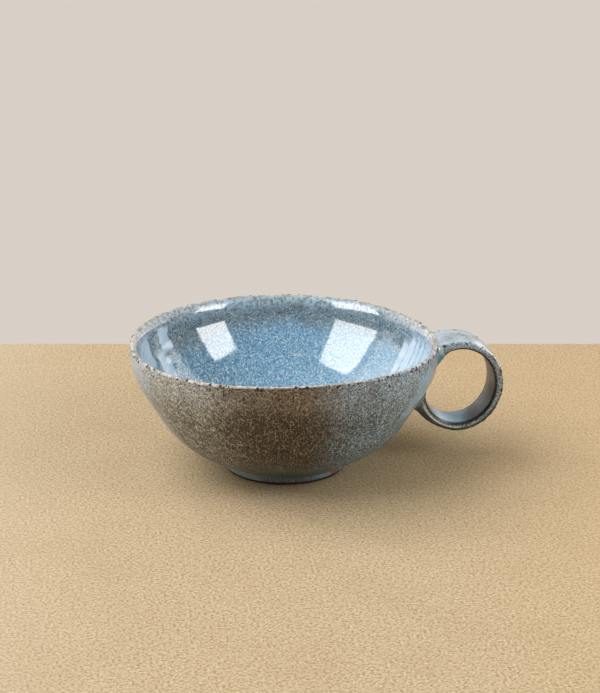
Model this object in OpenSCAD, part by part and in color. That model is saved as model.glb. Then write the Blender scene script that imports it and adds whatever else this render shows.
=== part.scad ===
// Soup mug: a wide, low thrown bowl on a turned foot ring, with a flat strap handle bent into a ring.
// The origin is the centre of the foot's underside, on the bowl's axis.
// +Z is up, and the handle points along +X.

/* [Bowl] */
// Diameter over the glaze at the rim
rim_d = 140; // [125:1:160]
// Height from the table to the top of the lip
height = 61; // [54:0.5:72]
// Thickness of the clay wall
wall = 4.6; // [3.5:0.1:6]
// Thickness of the clay at the lip
lip_t = 2.6; // [2:0.1:4]
// Thickness of the clay floor over the foot
floor_t = 5; // [3:0.1:6.5]
// Diameter of the hip, where the flare from the foot turns up into the wall
hip_d = 103.6; // [94:0.2:112]
// Height of the hip over the foot
hip_rise = 12.4; // [9:0.2:16]
// Radius that rounds the hip
hip_r = 45; // [25:1:55]
// Depth under the lip of the shoulder, where the wall turns upright
shoulder_drop = 12.3; // [11:0.1:18]
// Radius that rounds the shoulder
shoulder_r = 28.7; // [15:0.1:32]
// Radius that rounds the inside of the floor into the flare
floor_r = 26; // [15:1:32]

/* [Foot] */
// Diameter of the foot at the table
foot_d = 56; // [50:0.5:60]
// Diameter of the foot where it meets the bowl
foot_top_d = 59; // [54:0.5:63]
// Height of the foot
foot_h = 4.2; // [3:0.1:7]
// Width of the ring of clay that the mug stands on
foot_w = 6; // [4:0.1:9]
// Radius that rounds the foot's lower edges
foot_edge_r = 0.8; // [0.3:0.1:1.2]

/* [Handle] */
// Depth of the handle's highest point under the lip
handle_drop = 2.3; // [1.5:0.1:6]
// Diameter over the ring that the strap is bent into
ring_d = 43.6; // [38:0.2:48]
// How deep the ring is set into the line of the wall
root_depth = 5.7; // [5:0.1:8]
// Thickness of the strap along its middle
strap_t = 3.8; // [3:0.1:5]
// Thickness of the strap at its edges
strap_edge_t = 2.8; // [2:0.1:4]
// Width of the strap at the top of the ring
strap_top_w = 22; // [16:0.5:26]
// Width of the strap at the bottom of the ring
strap_bottom_w = 16.5; // [12:0.5:22]
// Width of the flat along the middle of the strap
strap_flat_w = 9; // [4:0.5:11]

/* [Handle joints] */
// How far the slip at the upper joint spreads round the strap
upper_spread = 2; // [1:0.1:3]
// How far the slip at the lower joint spreads round the strap
lower_spread = 2.5; // [1:0.1:3]
// How far the slip climbs from the wall along the strap
joint_rise = 2.4; // [1.2:0.1:4]

/* [Glaze] */
// Thickness of the glaze coats
glaze_t = 0.5; // [0.3:0.05:0.8]

/* [Hidden] */
$fn = 96;

// Straight steps along each round of an outline
arc_steps = 12;
// Round of each edge of the lip, as a share of the lip's thickness
lip_round_share = 0.46;
// Height over the ring's middle where the upper joint may begin, as a share of the ring's radius
upper_joint_share = 0.4;
// Length by which a cutting shape runs past what it cuts
overrun = 2;

// Bowl sizes over the glaze
rim_r = rim_d / 2;
lip_z = height - lip_t / 2;
hip_z = foot_h + hip_rise;
shoulder_z = height - shoulder_drop;
finished_wall = wall + 2 * glaze_t;
floor_z = foot_h + floor_t + glaze_t;

// Unit vector along v
function unit(v) = v / norm(v);

// The vector v turned a quarter to the left
function left_of(v) = [-v.y, v.x];

// Half the angle at corner k between its neighbours a and b
function half_angle(a, k, b) = acos(unit(a - k) * unit(b - k)) / 2;

// Corner k moved into its angle until both its sides have moved by d
function inset_corner(a, k, b, d) =
    k + d / sin(half_angle(a, k, b)) * unit(unit(a - k) + unit(b - k));

// Where the straight through p and q reaches height z
function at_height(p, q, z) = [p.x + (q.x - p.x) * (z - p.y) / (q.y - p.y), z];

// Points along the round of radius r that takes the place of corner k, on the way from a to b
function round_points(a, k, b, r) =
    let (
        centre = inset_corner(a, k, b, r),
        half = half_angle(a, k, b),
        start = k + r / tan(half) * unit(a - k) - centre,
        from = atan2(start.y, start.x),
        turn = 180 - 2 * half
    )
    [
        for (i = [0 : arc_steps])
            let (angle = from + turn * i / arc_steps)
            centre + r * [cos(angle), sin(angle)]
    ];

// The points of a list, last one first
function reversed(points) = [for (i = [len(points) - 1 : -1 : 0]) points[i]];

// Corners of the bowl's outside over the glaze, from the foot up to the lip
foot_point = [foot_top_d / 2, foot_h];
hip_point = [hip_d / 2, hip_z];
shoulder_point = [rim_r, shoulder_z];
lip_point = [rim_r, lip_z];

// Corners of the bowl's inside over the glaze, from the floor up to the lip
hip_inside = inset_corner(foot_point, hip_point, shoulder_point, finished_wall);
shoulder_inside = inset_corner(hip_point, shoulder_point, lip_point, finished_wall);
flare_inside = hip_inside + foot_point - hip_point;
floor_inside = at_height(flare_inside, hip_inside, floor_z);
floor_middle = [0, floor_z];
lip_inside = [rim_r - lip_t - 2 * glaze_t, lip_z];

// Handle sizes
ring_r = ring_d / 2;
ring_z = height - handle_drop - ring_r;
ring_x = at_height(hip_point, shoulder_point, ring_z).x + ring_r - root_depth;
upper_joint_z = ring_z + upper_joint_share * ring_r;
lower_joint_z = ring_z + strap_t;

// The bowl's outside line moved inwards by inset, from the foot up to the lip
function outside_line(inset) =
    let (
        start = foot_point + inset * left_of(unit(hip_point - foot_point)),
        hip = inset_corner(foot_point, hip_point, shoulder_point, inset),
        shoulder = inset_corner(hip_point, shoulder_point, lip_point, inset),
        foot = at_height(start, hip, foot_h),
        lip = [rim_r - inset, lip_z]
    )
    concat(
        [foot],
        round_points(foot, hip, shoulder, hip_r - inset),
        round_points(hip, shoulder, lip, shoulder_r - inset),
        [lip]
    );

// The bowl's inside line moved outwards into the wall by growth, from the floor's middle up to the lip
function inside_line(growth) =
    let (
        middle = [0, floor_z - growth],
        floor = inset_corner(floor_middle, floor_inside, hip_inside, -growth),
        hip = inset_corner(floor_inside, hip_inside, shoulder_inside, -growth),
        shoulder = inset_corner(hip_inside, shoulder_inside, lip_inside, -growth),
        lip_end = lip_inside - growth * left_of(unit(lip_inside - shoulder_inside)),
        lip = at_height(shoulder, lip_end, lip_z)
    )
    concat(
        [middle],
        round_points(middle, floor, hip, floor_r + growth),
        round_points(floor, hip, shoulder, hip_r - finished_wall + growth),
        round_points(hip, shoulder, lip, shoulder_r - finished_wall + growth),
        [lip]
    );

// Everything inside the bowl's outside line moved inwards by inset, turned round the axis
module outside_solid(inset) {
    rotate_extrude()
        polygon(concat([[0, foot_h]], outside_line(inset), [[0, lip_z]]));
}

// Section of the strap as the ring's axis sees it, with each face moved outwards by grow
module strap_section(grow) {
    middle_r = ring_r - strap_t / 2;
    half_t = strap_t / 2 + grow;
    half_edge = strap_edge_t / 2 + grow;
    flat = strap_flat_w / 2;
    edge = strap_top_w / 2;
    reach = edge + grow + overrun;
    tip = half_edge - (half_t - half_edge) * (reach - edge) / (edge - flat);
    polygon([
        [middle_r + half_t, -flat],
        [middle_r + half_t, flat],
        [middle_r + tip, reach],
        [middle_r - tip, reach],
        [middle_r - half_t, flat],
        [middle_r - half_t, -flat],
        [middle_r - tip, -reach],
        [middle_r + tip, -reach]
    ]);
}

// Prism between the strap's two slanting sides, with each side moved outwards by grow
module strap_taper(grow) {
    reach = ring_r + grow + overrun;
    slope = (strap_top_w - strap_bottom_w) / 2 / ring_d;
    middle = (strap_top_w + strap_bottom_w) / 4 + grow;
    top = middle + slope * reach;
    bottom = middle - slope * reach;
    rotate([90, 0, 90])
        linear_extrude(2 * reach, center = true)
            polygon([[-bottom, -reach], [bottom, -reach], [top, reach], [-top, reach]]);
}

// The whole ring of strap, with each face moved outwards by grow
module strap_ring(grow) {
    translate([ring_x, 0, ring_z])
        intersection() {
            rotate([90, 0, 0])
                rotate_extrude()
                    strap_section(grow);
            strap_taper(grow);
        }
}

// Block as wide and long as the ring and more, with its underside at height z
module ring_block(z) {
    side = 2 * (ring_d + overrun);
    translate([ring_x - side / 2, -side / 2, z])
        cube(side);
}

// Room that the slip of the upper joint takes up round the strap
module upper_joint_room() {
    intersection() {
        strap_ring(upper_spread);
        ring_block(upper_joint_z);
    }
}

// Room that the slip of the lower joint takes up round the strap
module lower_joint_room() {
    difference() {
        strap_ring(lower_spread);
        ring_block(lower_joint_z);
    }
}

// Slip between the wall and the strap, in the room that the children give it
module joint_slip() {
    difference() {
        intersection() {
            children();
            outside_solid(glaze_t - joint_rise);
        }
        outside_solid(glaze_t);
        strap_ring(0);
    }
}

module bowl() {
    outside = outside_line(glaze_t);
    inside = inside_line(glaze_t);
    outer = outside[len(outside) - 1];
    inner = inside[len(inside) - 1];
    outer_top = [outer.x, height];
    inner_top = [inner.x, height];
    lip_r = lip_round_share * lip_t;
    color("tan")
        rotate_extrude()
            polygon(concat(
                [[0, foot_h]],
                outside,
                round_points(outer, outer_top, inner_top, lip_r),
                round_points(outer_top, inner_top, inner, lip_r),
                reversed(inside)
            ));
}

module foot_ring() {
    outer = [foot_d / 2, 0];
    outer_top = [foot_top_d / 2, foot_h];
    inner = [foot_d / 2 - foot_w, 0];
    inner_top = [foot_top_d / 2 - foot_w, foot_h];
    color("rosybrown")
        rotate_extrude()
            polygon(concat(
                round_points(inner_top, inner, outer, foot_edge_r),
                round_points(inner, outer, outer_top, foot_edge_r),
                [outer_top, inner_top]
            ));
}

module handle() {
    color("darkgray")
        difference() {
            strap_ring(0);
            outside_solid(glaze_t);
        }
}

module upper_handle_joint() {
    color("cadetblue")
        joint_slip()
            upper_joint_room();
}

module lower_handle_joint() {
    color("slategray")
        joint_slip()
            lower_joint_room();
}

module liner_glaze() {
    color("lightsteelblue")
        rotate_extrude()
            polygon(concat(inside_line(glaze_t), reversed(inside_line(0))));
}

module outer_glaze() {
    color("dimgray")
        difference() {
            rotate_extrude()
                polygon(concat(outside_line(0), reversed(outside_line(glaze_t))));
            upper_joint_room();
            lower_joint_room();
        }
}

module handle_glaze() {
    color("lightslategray")
        difference() {
            strap_ring(glaze_t);
            outside_solid(glaze_t - joint_rise);
            strap_ring(0);
        }
}

bowl();
foot_ring();
handle();
upper_handle_joint();
lower_handle_joint();
liner_glaze();
outer_glaze();
handle_glaze();
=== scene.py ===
"""Looks of the soup mug: a thrown stoneware bowl and a pulled strap handle under speckled glazes.

Every size is in metres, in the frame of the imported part: the bowl turns about +Z, its foot stands
on the origin, and the handle points along +X.
"""

import logging
import math
from collections.abc import Sequence
from dataclasses import asdict, dataclass, field, fields
from enum import Enum
from typing import NamedTuple

import bmesh
import bpy
import numpy as np
from mathutils import Euler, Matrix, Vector


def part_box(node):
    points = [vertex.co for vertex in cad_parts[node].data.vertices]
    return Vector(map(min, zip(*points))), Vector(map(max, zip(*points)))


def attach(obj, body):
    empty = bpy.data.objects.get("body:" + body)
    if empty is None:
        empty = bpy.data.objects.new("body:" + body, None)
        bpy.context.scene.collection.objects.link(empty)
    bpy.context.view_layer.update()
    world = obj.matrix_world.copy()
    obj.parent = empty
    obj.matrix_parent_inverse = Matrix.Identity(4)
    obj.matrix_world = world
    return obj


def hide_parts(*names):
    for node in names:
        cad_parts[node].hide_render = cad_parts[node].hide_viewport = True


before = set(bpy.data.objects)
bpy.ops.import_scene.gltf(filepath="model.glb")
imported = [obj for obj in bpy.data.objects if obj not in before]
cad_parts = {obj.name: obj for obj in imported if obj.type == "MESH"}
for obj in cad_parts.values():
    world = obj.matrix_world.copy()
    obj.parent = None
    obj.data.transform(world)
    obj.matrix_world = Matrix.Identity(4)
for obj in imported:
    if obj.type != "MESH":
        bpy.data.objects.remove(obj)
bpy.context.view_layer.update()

MM = 0.001
BODY = "root"
MERGE_GAP = 1e-6
TINY = 1e-9
FULL_TURN = 2 * math.pi
NOISE_MIDDLE = 0.5
STRAP_LABELS = ("edge", "corner", "hollow", "outward")
LOG = logging.getLogger("soup_mug")

# Constants of the screen's tone curve
SCREEN_STEPS = 255
SCREEN_KNEE = 0.04045
SCREEN_SLOPE = 12.92
SCREEN_LIFT = 0.055
SCREEN_POWER = 2.4

# Numbers of the sockets that nodes with several data types give to the types used here
MIX_SHARE, MIX_FIRST, MIX_SECOND, MIX_RESULT = 0, 6, 7, 2
RANDOM_LEAST, RANDOM_GREATEST, RANDOM_RESULT = 2, 3, 1

Colour = tuple[float, float, float, float]
Socket = bpy.types.NodeSocket


class Slot(Enum):
    """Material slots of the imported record."""

    STONEWARE = "stoneware"
    FOOT_CLAY = "foot_clay"
    JOINT_SLIP = "joint_slip"
    LINER = "liner_glaze"
    OUTER = "outer_glaze"
    HANDLE = "handle_glaze"


class Root(Enum):
    """The two ends of the strap, where it joins the bowl's wall."""

    UPPER = "upper"
    LOWER = "lower"


def screen(red: int, green: int, blue: int) -> Colour:
    """Turns a colour in a screen's 0 to 255 steps into linear light.

    Args:
        red: Step of red.
        green: Step of green.
        blue: Step of blue.

    Returns:
        The colour in linear light, with full alpha.
    """
    linear = []
    for step in (red, green, blue):
        share = step / SCREEN_STEPS
        curved = ((share + SCREEN_LIFT) / (1 + SCREEN_LIFT)) ** SCREEN_POWER
        linear.append(share / SCREEN_SLOPE if share <= SCREEN_KNEE else curved)
    return (linear[0], linear[1], linear[2], 1.0)


class Ramp(NamedTuple):
    """A smooth step: where it begins and ends, and what it gives there.

    In a finish its name says what it runs over: a rise or fall goes by height, a level by a noise,
    a reach or end by the heading round the bowl, and an edge, corner, hollow or outward by the
    strap's own shares.
    """

    low: float | Socket
    high: float | Socket
    start: float = 0.0
    end: float = 1.0


class Grain(NamedTuple):
    """A noise: its waves to the metre, its finer layers and how much it is drawn into curls."""

    scale: float | Socket
    detail: float = 2.0
    swirl: float = 0.0


class Strands(NamedTuple):
    """Thin wandering strands: the noise that they follow, and their width in the noise's own steps."""

    grain: Grain
    width: float


class Needles(NamedTuple):
    """Short crystals that lie several ways.

    They have a number to the metre, a length over their width and a level of the noise at which one
    begins; then come the turn about X, Y and Z of each layer in degrees, and what all layers share.
    """

    scale: float
    stretch: float
    low: float
    turns: tuple[tuple[float, float, float], ...]
    detail: float = 1.0
    swirl: float = 0.5
    edge: float = 0.035


class Specks(NamedTuple):
    """Round specks: cells to the metre, radius in cells, share of cells with one, and upright stretch."""

    scale: float
    size: float
    share: float
    stretch: float = 1.0
    edge: float = 1 / 3


class Patch(NamedTuple):
    """A patch of the wall: heading, half width and soft edge in degrees, and its lower and upper edge.

    Then come the share of its height over which it fades, and how far a noise bends its sides, in
    widths of the soft edge.
    """

    heading: float
    half: float
    soft: float
    low: float
    high: float
    fade: float = 0.2
    bend: float = 4.0


class NodeSheet:
    """A node tree, with one short call for each kind of node that the mug needs."""

    def __init__(self, tree: bpy.types.NodeTree) -> None:
        """Keeps the tree that the calls add to."""
        self.tree = tree

    def node(self, kind: str, inputs: dict[str | int, object] | None = None,
             **settings: object) -> bpy.types.Node:
        """Adds a node.

        Args:
            kind: Type name of the node.
            inputs: Outputs or plain values to feed it with, by the name or number of the input.
            **settings: Properties to set on it.

        Returns:
            The new node.
        """
        made = self.tree.nodes.new(kind)
        for name, value in settings.items():
            setattr(made, name, value)
        for key, value in (inputs or {}).items():
            self.feed(made.inputs[key], value)
        return made

    def feed(self, socket: Socket, value: object) -> None:
        """Links an input to an output, or sets it to a plain value; None leaves it alone."""
        if isinstance(value, bpy.types.NodeSocket):
            self.tree.links.new(value, socket)
        elif value is not None:
            socket.default_value = value

    def math(self, operation: str, *values: object) -> Socket:
        """Adds a Math node.

        Args:
            operation: Name of the operation.
            *values: Its operands, as outputs or numbers.

        Returns:
            The result's socket.
        """
        return self.node("ShaderNodeMath", dict(enumerate(values)), operation=operation).outputs[0]

    def chain(self, operation: str, *values: object) -> Socket:
        """Joins values from first to last by one operation.

        Args:
            operation: Name of the operation.
            *values: Two or more outputs or numbers.

        Returns:
            The result's socket.
        """
        whole = values[0]
        for value in values[1:]:
            whole = self.math(operation, whole, value)
        return whole

    def times(self, *values: object) -> Socket:
        """Multiplies values."""
        return self.chain("MULTIPLY", *values)

    def plus(self, *values: object) -> Socket:
        """Adds values up."""
        return self.chain("ADD", *values)

    def minus(self, first: object, second: object) -> Socket:
        """Takes the second value from the first."""
        return self.math("SUBTRACT", first, second)

    def most(self, *values: object) -> Socket:
        """Keeps the greatest of the values."""
        return self.chain("MAXIMUM", *values)

    def centred(self, noise: Socket) -> Socket:
        """Lowers a noise about 0 to 1 so that it swings to both sides of 0."""
        return self.minus(noise, NOISE_MIDDLE)

    def span(self, value: Socket, ramp: Ramp) -> Socket:
        """Steps smoothly from one value to another.

        Args:
            value: What decides how far the step has gone.
            ramp: The step.

        Returns:
            The result's socket.
        """
        inputs = dict(enumerate((value, *ramp)))
        return self.node("ShaderNodeMapRange", inputs, interpolation_type="SMOOTHSTEP").outputs["Result"]

    def noise(self, place: Socket, grain: Grain) -> Socket:
        """Adds a noise.

        Args:
            place: Position that it reads.
            grain: The noise.

        Returns:
            The noise's socket, about 0 to 1.
        """
        inputs = {"Vector": place, "Scale": grain.scale, "Detail": grain.detail, "Distortion": grain.swirl}
        return self.node("ShaderNodeTexNoise", inputs).outputs[0]


class ShaderSheet(NodeSheet):
    """The node tree of one material, read in the frame's own coordinates."""

    def __init__(self, name: str) -> None:
        """Makes an empty material and splits up the position."""
        self.material = bpy.data.materials.new(name)
        self.material.use_nodes = True
        super().__init__(self.material.node_tree)
        self.tree.nodes.clear()
        self.place = self.node("ShaderNodeTexCoord").outputs["Object"]
        self.x, self.y, self.z = self.node("ShaderNodeSeparateXYZ", {0: self.place}).outputs

    def attribute(self, name: str) -> Socket:
        """Reads a number that the mesh carries at its points."""
        return self.node("ShaderNodeAttribute", attribute_name=name).outputs["Fac"]

    def grain(self, kind: Grain) -> Socket:
        """Reads a noise at the point itself."""
        return self.noise(self.place, kind)

    def along(self, degrees: float) -> Socket:
        """Measures how far a point lies from the axis along a heading, from +X towards +Y."""
        turn = math.radians(degrees)
        return self.plus(self.times(self.x, math.cos(turn)), self.times(self.y, math.sin(turn)))

    def toward(self, degrees: float) -> Socket:
        """Measures how far a point faces a heading round the bowl's axis.

        Args:
            degrees: The heading, from +X towards +Y.

        Returns:
            The cosine of the angle between the point's heading and this one.
        """
        square = self.plus(self.times(self.x, self.x), self.times(self.y, self.y))
        return self.math("DIVIDE", self.along(degrees), self.math("SQRT", square))

    def needles(self, kind: Needles) -> Socket:
        """Scatters short needles.

        Args:
            kind: The needles.

        Returns:
            1 in a needle of any layer and 0 outside.
        """
        layers = []
        for turn in kind.turns:
            laid = self.node("ShaderNodeMapping", {
                "Vector": self.place, "Rotation": [math.radians(angle) for angle in turn],
                "Scale": (kind.stretch, 1.0, 1.0)}, vector_type="TEXTURE")
            level = self.noise(laid.outputs[0], Grain(kind.scale, kind.detail, kind.swirl))
            layers.append(self.span(level, Ramp(kind.low, kind.low + kind.edge)))
        return self.most(*layers)

    def patch(self, mark: Patch, wander: Socket | None = None) -> Socket:
        """Marks a soft-edged patch of the wall.

        Args:
            mark: The patch.
            wander: Noise about 0 to 1 that bends its sides.

        Returns:
            1 in the patch and 0 outside.
        """
        rim, core = (math.cos(math.radians(angle)) for angle in (mark.half + mark.soft, mark.half))
        fade = mark.fade * (mark.high - mark.low)
        tall = self.times(self.span(self.z, Ramp(mark.low, mark.low + fade)),
                          self.span(self.z, Ramp(mark.high, mark.high - fade)))
        facing = self.toward(mark.heading)
        if wander is not None:
            facing = self.plus(facing, self.times(self.centred(wander), mark.bend * (core - rim)))
        return self.times(tall, self.span(facing, Ramp(rim, core)))

    def patches(self, marks: Sequence[Patch], wander: Socket | None = None) -> Socket:
        """Marks several patches of the wall at once.

        Args:
            marks: The patches.
            wander: Noise about 0 to 1 that bends their sides.

        Returns:
            1 in any of the patches and 0 outside.
        """
        return self.most(*[self.patch(mark, wander) for mark in marks])

    def strands(self, kind: Strands) -> Socket:
        """Draws thin strands that wander like the crystals of a cooled glaze.

        Args:
            kind: The strands.

        Returns:
            1 on a strand and 0 off it.
        """
        off = self.math("ABSOLUTE", self.centred(self.grain(kind.grain)))
        return self.span(off, Ramp(0.0, kind.width, 1.0, 0.0))

    def specks(self, kind: Specks) -> Socket:
        """Scatters round specks.

        Args:
            kind: The specks.

        Returns:
            1 in a speck and 0 outside.
        """
        squeeze = self.node("ShaderNodeMapping", {
            "Vector": self.place, "Scale": (1.0, 1.0, 1.0 / kind.stretch)}, vector_type="POINT")
        cells = self.node("ShaderNodeTexVoronoi", {
            "Vector": squeeze.outputs[0], "Scale": kind.scale}, feature="F1").outputs
        chance = self.node("ShaderNodeSeparateColor", {0: cells["Color"]}).outputs
        held = self.math("LESS_THAN", chance[0], kind.share)
        beyond = self.minus(cells["Distance"], self.times(chance[1], kind.size))
        return self.times(held, self.span(beyond, Ramp(0.0, kind.size * kind.edge, 1.0, 0.0)))

    def mix(self, share: object, first: object, second: object) -> Socket:
        """Mixes two colours.

        Args:
            share: How much of the second shows.
            first: Colour or output.
            second: Colour or output.

        Returns:
            The mixed colour's socket.
        """
        made = self.node("ShaderNodeMix", data_type="RGBA", clamp_factor=True)
        for number, value in ((MIX_SHARE, share), (MIX_FIRST, first), (MIX_SECOND, second)):
            self.feed(made.inputs[number], value)
        return made.outputs[MIX_RESULT]

    def bump(self, height: Socket, depth: float, under: Socket | None = None) -> Socket:
        """Adds a fine relief.

        Args:
            height: Height of the relief, 0 to 1.
            depth: Real depth of the relief.
            under: Relief that this one lies on.

        Returns:
            The bent normal's socket.
        """
        inputs = {"Height": height, "Distance": depth, "Normal": under}
        return self.node("ShaderNodeBump", inputs).outputs[0]

    def surface(self, colour: Socket, rough: Socket, relief: Socket, ior: float) -> bpy.types.Material:
        """Closes the material with its surface.

        Args:
            colour: Base colour.
            rough: Roughness.
            relief: Bent normal.
            ior: Index of refraction, the same all over.

        Returns:
            The finished material.
        """
        inputs = {"Base Color": colour, "Roughness": rough, "Normal": relief, "IOR": ior}
        return self.close(self.node("ShaderNodeBsdfPrincipled", inputs))

    def close(self, shader: bpy.types.Node) -> bpy.types.Material:
        """Ends the tree in a shader and gives the material back."""
        self.node("ShaderNodeOutputMaterial", {"Surface": shader.outputs[0]})
        return self.material


@dataclass(frozen=True)
class SatinSpeckle:
    """Satin glaze of the outside, brown where it lies thin and pale where crystals grew in it. Towards the
    far left it is partly frosty glaze and partly painted sheen, the foot's ends seen from the front show a
    painted sheen, and beige patches near the right limb are a painted reflection of the floor.
    """

    umber: Colour = screen(40, 29, 19)
    brown: Colour = screen(101, 85, 62)
    dusk: Colour = screen(38, 38, 37)
    ash: Colour = screen(172, 177, 176)
    moss: Colour = screen(70, 105, 122)
    sea: Colour = screen(144, 176, 200)
    fume: Colour = screen(76, 96, 104)
    pit: Colour = screen(38, 29, 20)
    sand: Colour = screen(196, 181, 157)
    crystal: Colour = screen(231, 235, 233)
    frost: Colour = screen(208, 232, 255)
    iron: Colour = screen(52, 36, 26)
    pool: Colour = screen(176, 208, 236)
    run: Colour = screen(172, 216, 252)
    # Beige of the patches near the right limb: a painted reflection of the floor
    bare: Colour = screen(178, 171, 158)
    blush: Colour = screen(156, 120, 106)
    left: float = 182.0
    right: float = -20.0
    front: float = -93.0
    beside: tuple[Patch, ...] = (
        Patch(-32.0, 3.0, 4.5, 38.0 * MM, 57.0 * MM), Patch(-36.0, 3.0, 4.5, 32.0 * MM, 48.0 * MM))
    # Patches near the right limb that carry the painted reflection of the floor
    behind: tuple[Patch, ...] = (
        Patch(-18.0, 6.0, 3.0, 36.0 * MM, 55.0 * MM), Patch(-24.0, 6.0, 3.0, 25.0 * MM, 41.0 * MM))
    foot_gap: Patch = Patch(-45.0, 5.0, 3.0, 0.5 * MM, 5.0 * MM)
    cloud: Grain = Grain(28.0, 4.0, 0.4)
    grain: Grain = Grain(1700.0)
    clumps: Grain = Grain(220.0, 3.0)
    needles: Needles = Needles(
        1750.0, 4.8, 0.638, ((0, -35, 30), (0, -20, 150), (0, -62, 265), (0, 30, 85)))
    side_needles: Needles = Needles(1750.0, 4.8, 0.638, ((0, 12, 205), (0, -48, 330), (0, 55, 20)))
    rust: Specks = Specks(640.0, 0.3, 0.3, 1.6)
    drift_size: float = 0.8
    drift_height: float = 20.0 * MM
    right_sway: float = 0.5
    pale_rise: Ramp = Ramp(37.0 * MM, 59.0 * MM)
    left_reach: Ramp = Ramp(0.18, 1.0)
    right_reach: Ramp = Ramp(0.32, 1.0)
    brown_rise: Ramp = Ramp(44.0 * MM, 58.0 * MM)
    fume_fall: Ramp = Ramp(26.0 * MM, 8.0 * MM, 0.0, 0.85)
    pit_level: Ramp = Ramp(0.49, 0.58, 0.0, 0.9)
    clump_level: Ramp = Ramp(0.35, 0.65, 0.75, 1.0)
    crystal_rise: Ramp = Ramp(12.0 * MM, 40.0 * MM, 0.85, 1.0)
    crystal_sides: Ramp = Ramp(0.0, 0.85, 0.6, 1.0)
    frost_reach: Ramp = Ramp(0.0, 0.6)
    # Painted sheen, with frosty glaze, towards the far left
    left_sheen_end: Ramp = Ramp(0.86, 0.99, 0.0, 0.4)
    rust_rise: Ramp = Ramp(52.5 * MM, 58.5 * MM)
    rust_share: float = 0.85
    run_level: Ramp = Ramp(0.35, 0.6, 1.0, 0.7)
    # Pooled glaze on the foot, thinned at the front so that the foot's ends show a painted sheen
    pool_and_sheen_ends: Ramp = Ramp(0.98, 0.80, 0.25, 0.85)
    pool_level: Ramp = Ramp(0.38, 0.6, 1.0, 0.4)
    pool_fall: Ramp = Ramp(8.5 * MM, 5.0 * MM)
    roughness: Ramp = Ramp(0.0, 1.0, 0.38, 0.16)
    grain_depth: float = 0.04 * MM
    crystal_depth: float = 0.06 * MM
    ior: float = 1.5

    def material(self) -> bpy.types.Material:
        """Builds the finish as a node material."""
        sheet = ShaderSheet("satin_speckle_glaze")
        drift = sheet.times(sheet.centred(sheet.grain(self.cloud)), self.drift_size)
        height = sheet.plus(sheet.z, sheet.times(drift, self.drift_height))
        rise = sheet.span(height, self.pale_rise)
        left = sheet.span(sheet.plus(sheet.toward(self.left), drift), self.left_reach)
        sway = sheet.times(drift, self.right_sway)
        right = sheet.span(sheet.plus(sheet.toward(self.right), sway), self.right_reach)
        body = sheet.mix(sheet.span(height, self.brown_rise), self.umber, self.brown)
        body = sheet.mix(sheet.span(height, self.fume_fall), body, self.fume)
        body = sheet.mix(left, body, sheet.mix(rise, self.dusk, self.ash))
        body = sheet.mix(right, body, sheet.mix(rise, self.moss, self.sea))
        grain = sheet.grain(self.grain)
        body = sheet.mix(sheet.span(grain, self.pit_level), body, self.pit)
        sides = sheet.most(left, right)
        more = sheet.times(sheet.needles(self.side_needles), sides)
        crystals = sheet.most(sheet.needles(self.needles), more)
        dense = sheet.times(sheet.span(sheet.grain(self.clumps), self.clump_level),
                            sheet.span(sheet.z, self.crystal_rise))
        show = sheet.times(crystals, dense, sheet.span(sides, self.crystal_sides))
        pale = sheet.mix(sheet.span(right, self.frost_reach), self.sand, self.frost)
        body = sheet.mix(show, body, sheet.mix(left, pale, self.crystal))
        # Frost towards the far left: partly frosty glaze, partly a painted sheen on the left edge
        body = sheet.mix(sheet.span(sheet.toward(self.left), self.left_sheen_end), body, self.frost)
        rusty = sheet.times(sheet.specks(self.rust), sheet.span(height, self.rust_rise), self.rust_share)
        body = sheet.mix(rusty, body, self.iron)
        streak = sheet.times(sheet.patches(self.beside), sheet.span(grain, self.run_level))
        body = sheet.mix(streak, body, self.run)
        # Painted reflection of the floor: a beige line in patches near the right limb
        body = sheet.mix(sheet.patches(self.behind), body, self.bare)
        # Pooled glaze on the foot; it thins out at the front, so the ends seen from the front show a
        # painted sheen
        ends = sheet.times(sheet.span(sheet.toward(self.front), self.pool_and_sheen_ends),
                           sheet.span(grain, self.pool_level))
        body = sheet.mix(sheet.times(sheet.span(height, self.pool_fall), ends), body, self.pool)
        body = sheet.mix(sheet.patch(self.foot_gap, grain), body, self.blush)
        relief = sheet.bump(crystals, self.crystal_depth, sheet.bump(grain, self.grain_depth))
        return sheet.surface(body, sheet.span(streak, self.roughness), relief, self.ior)


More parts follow.
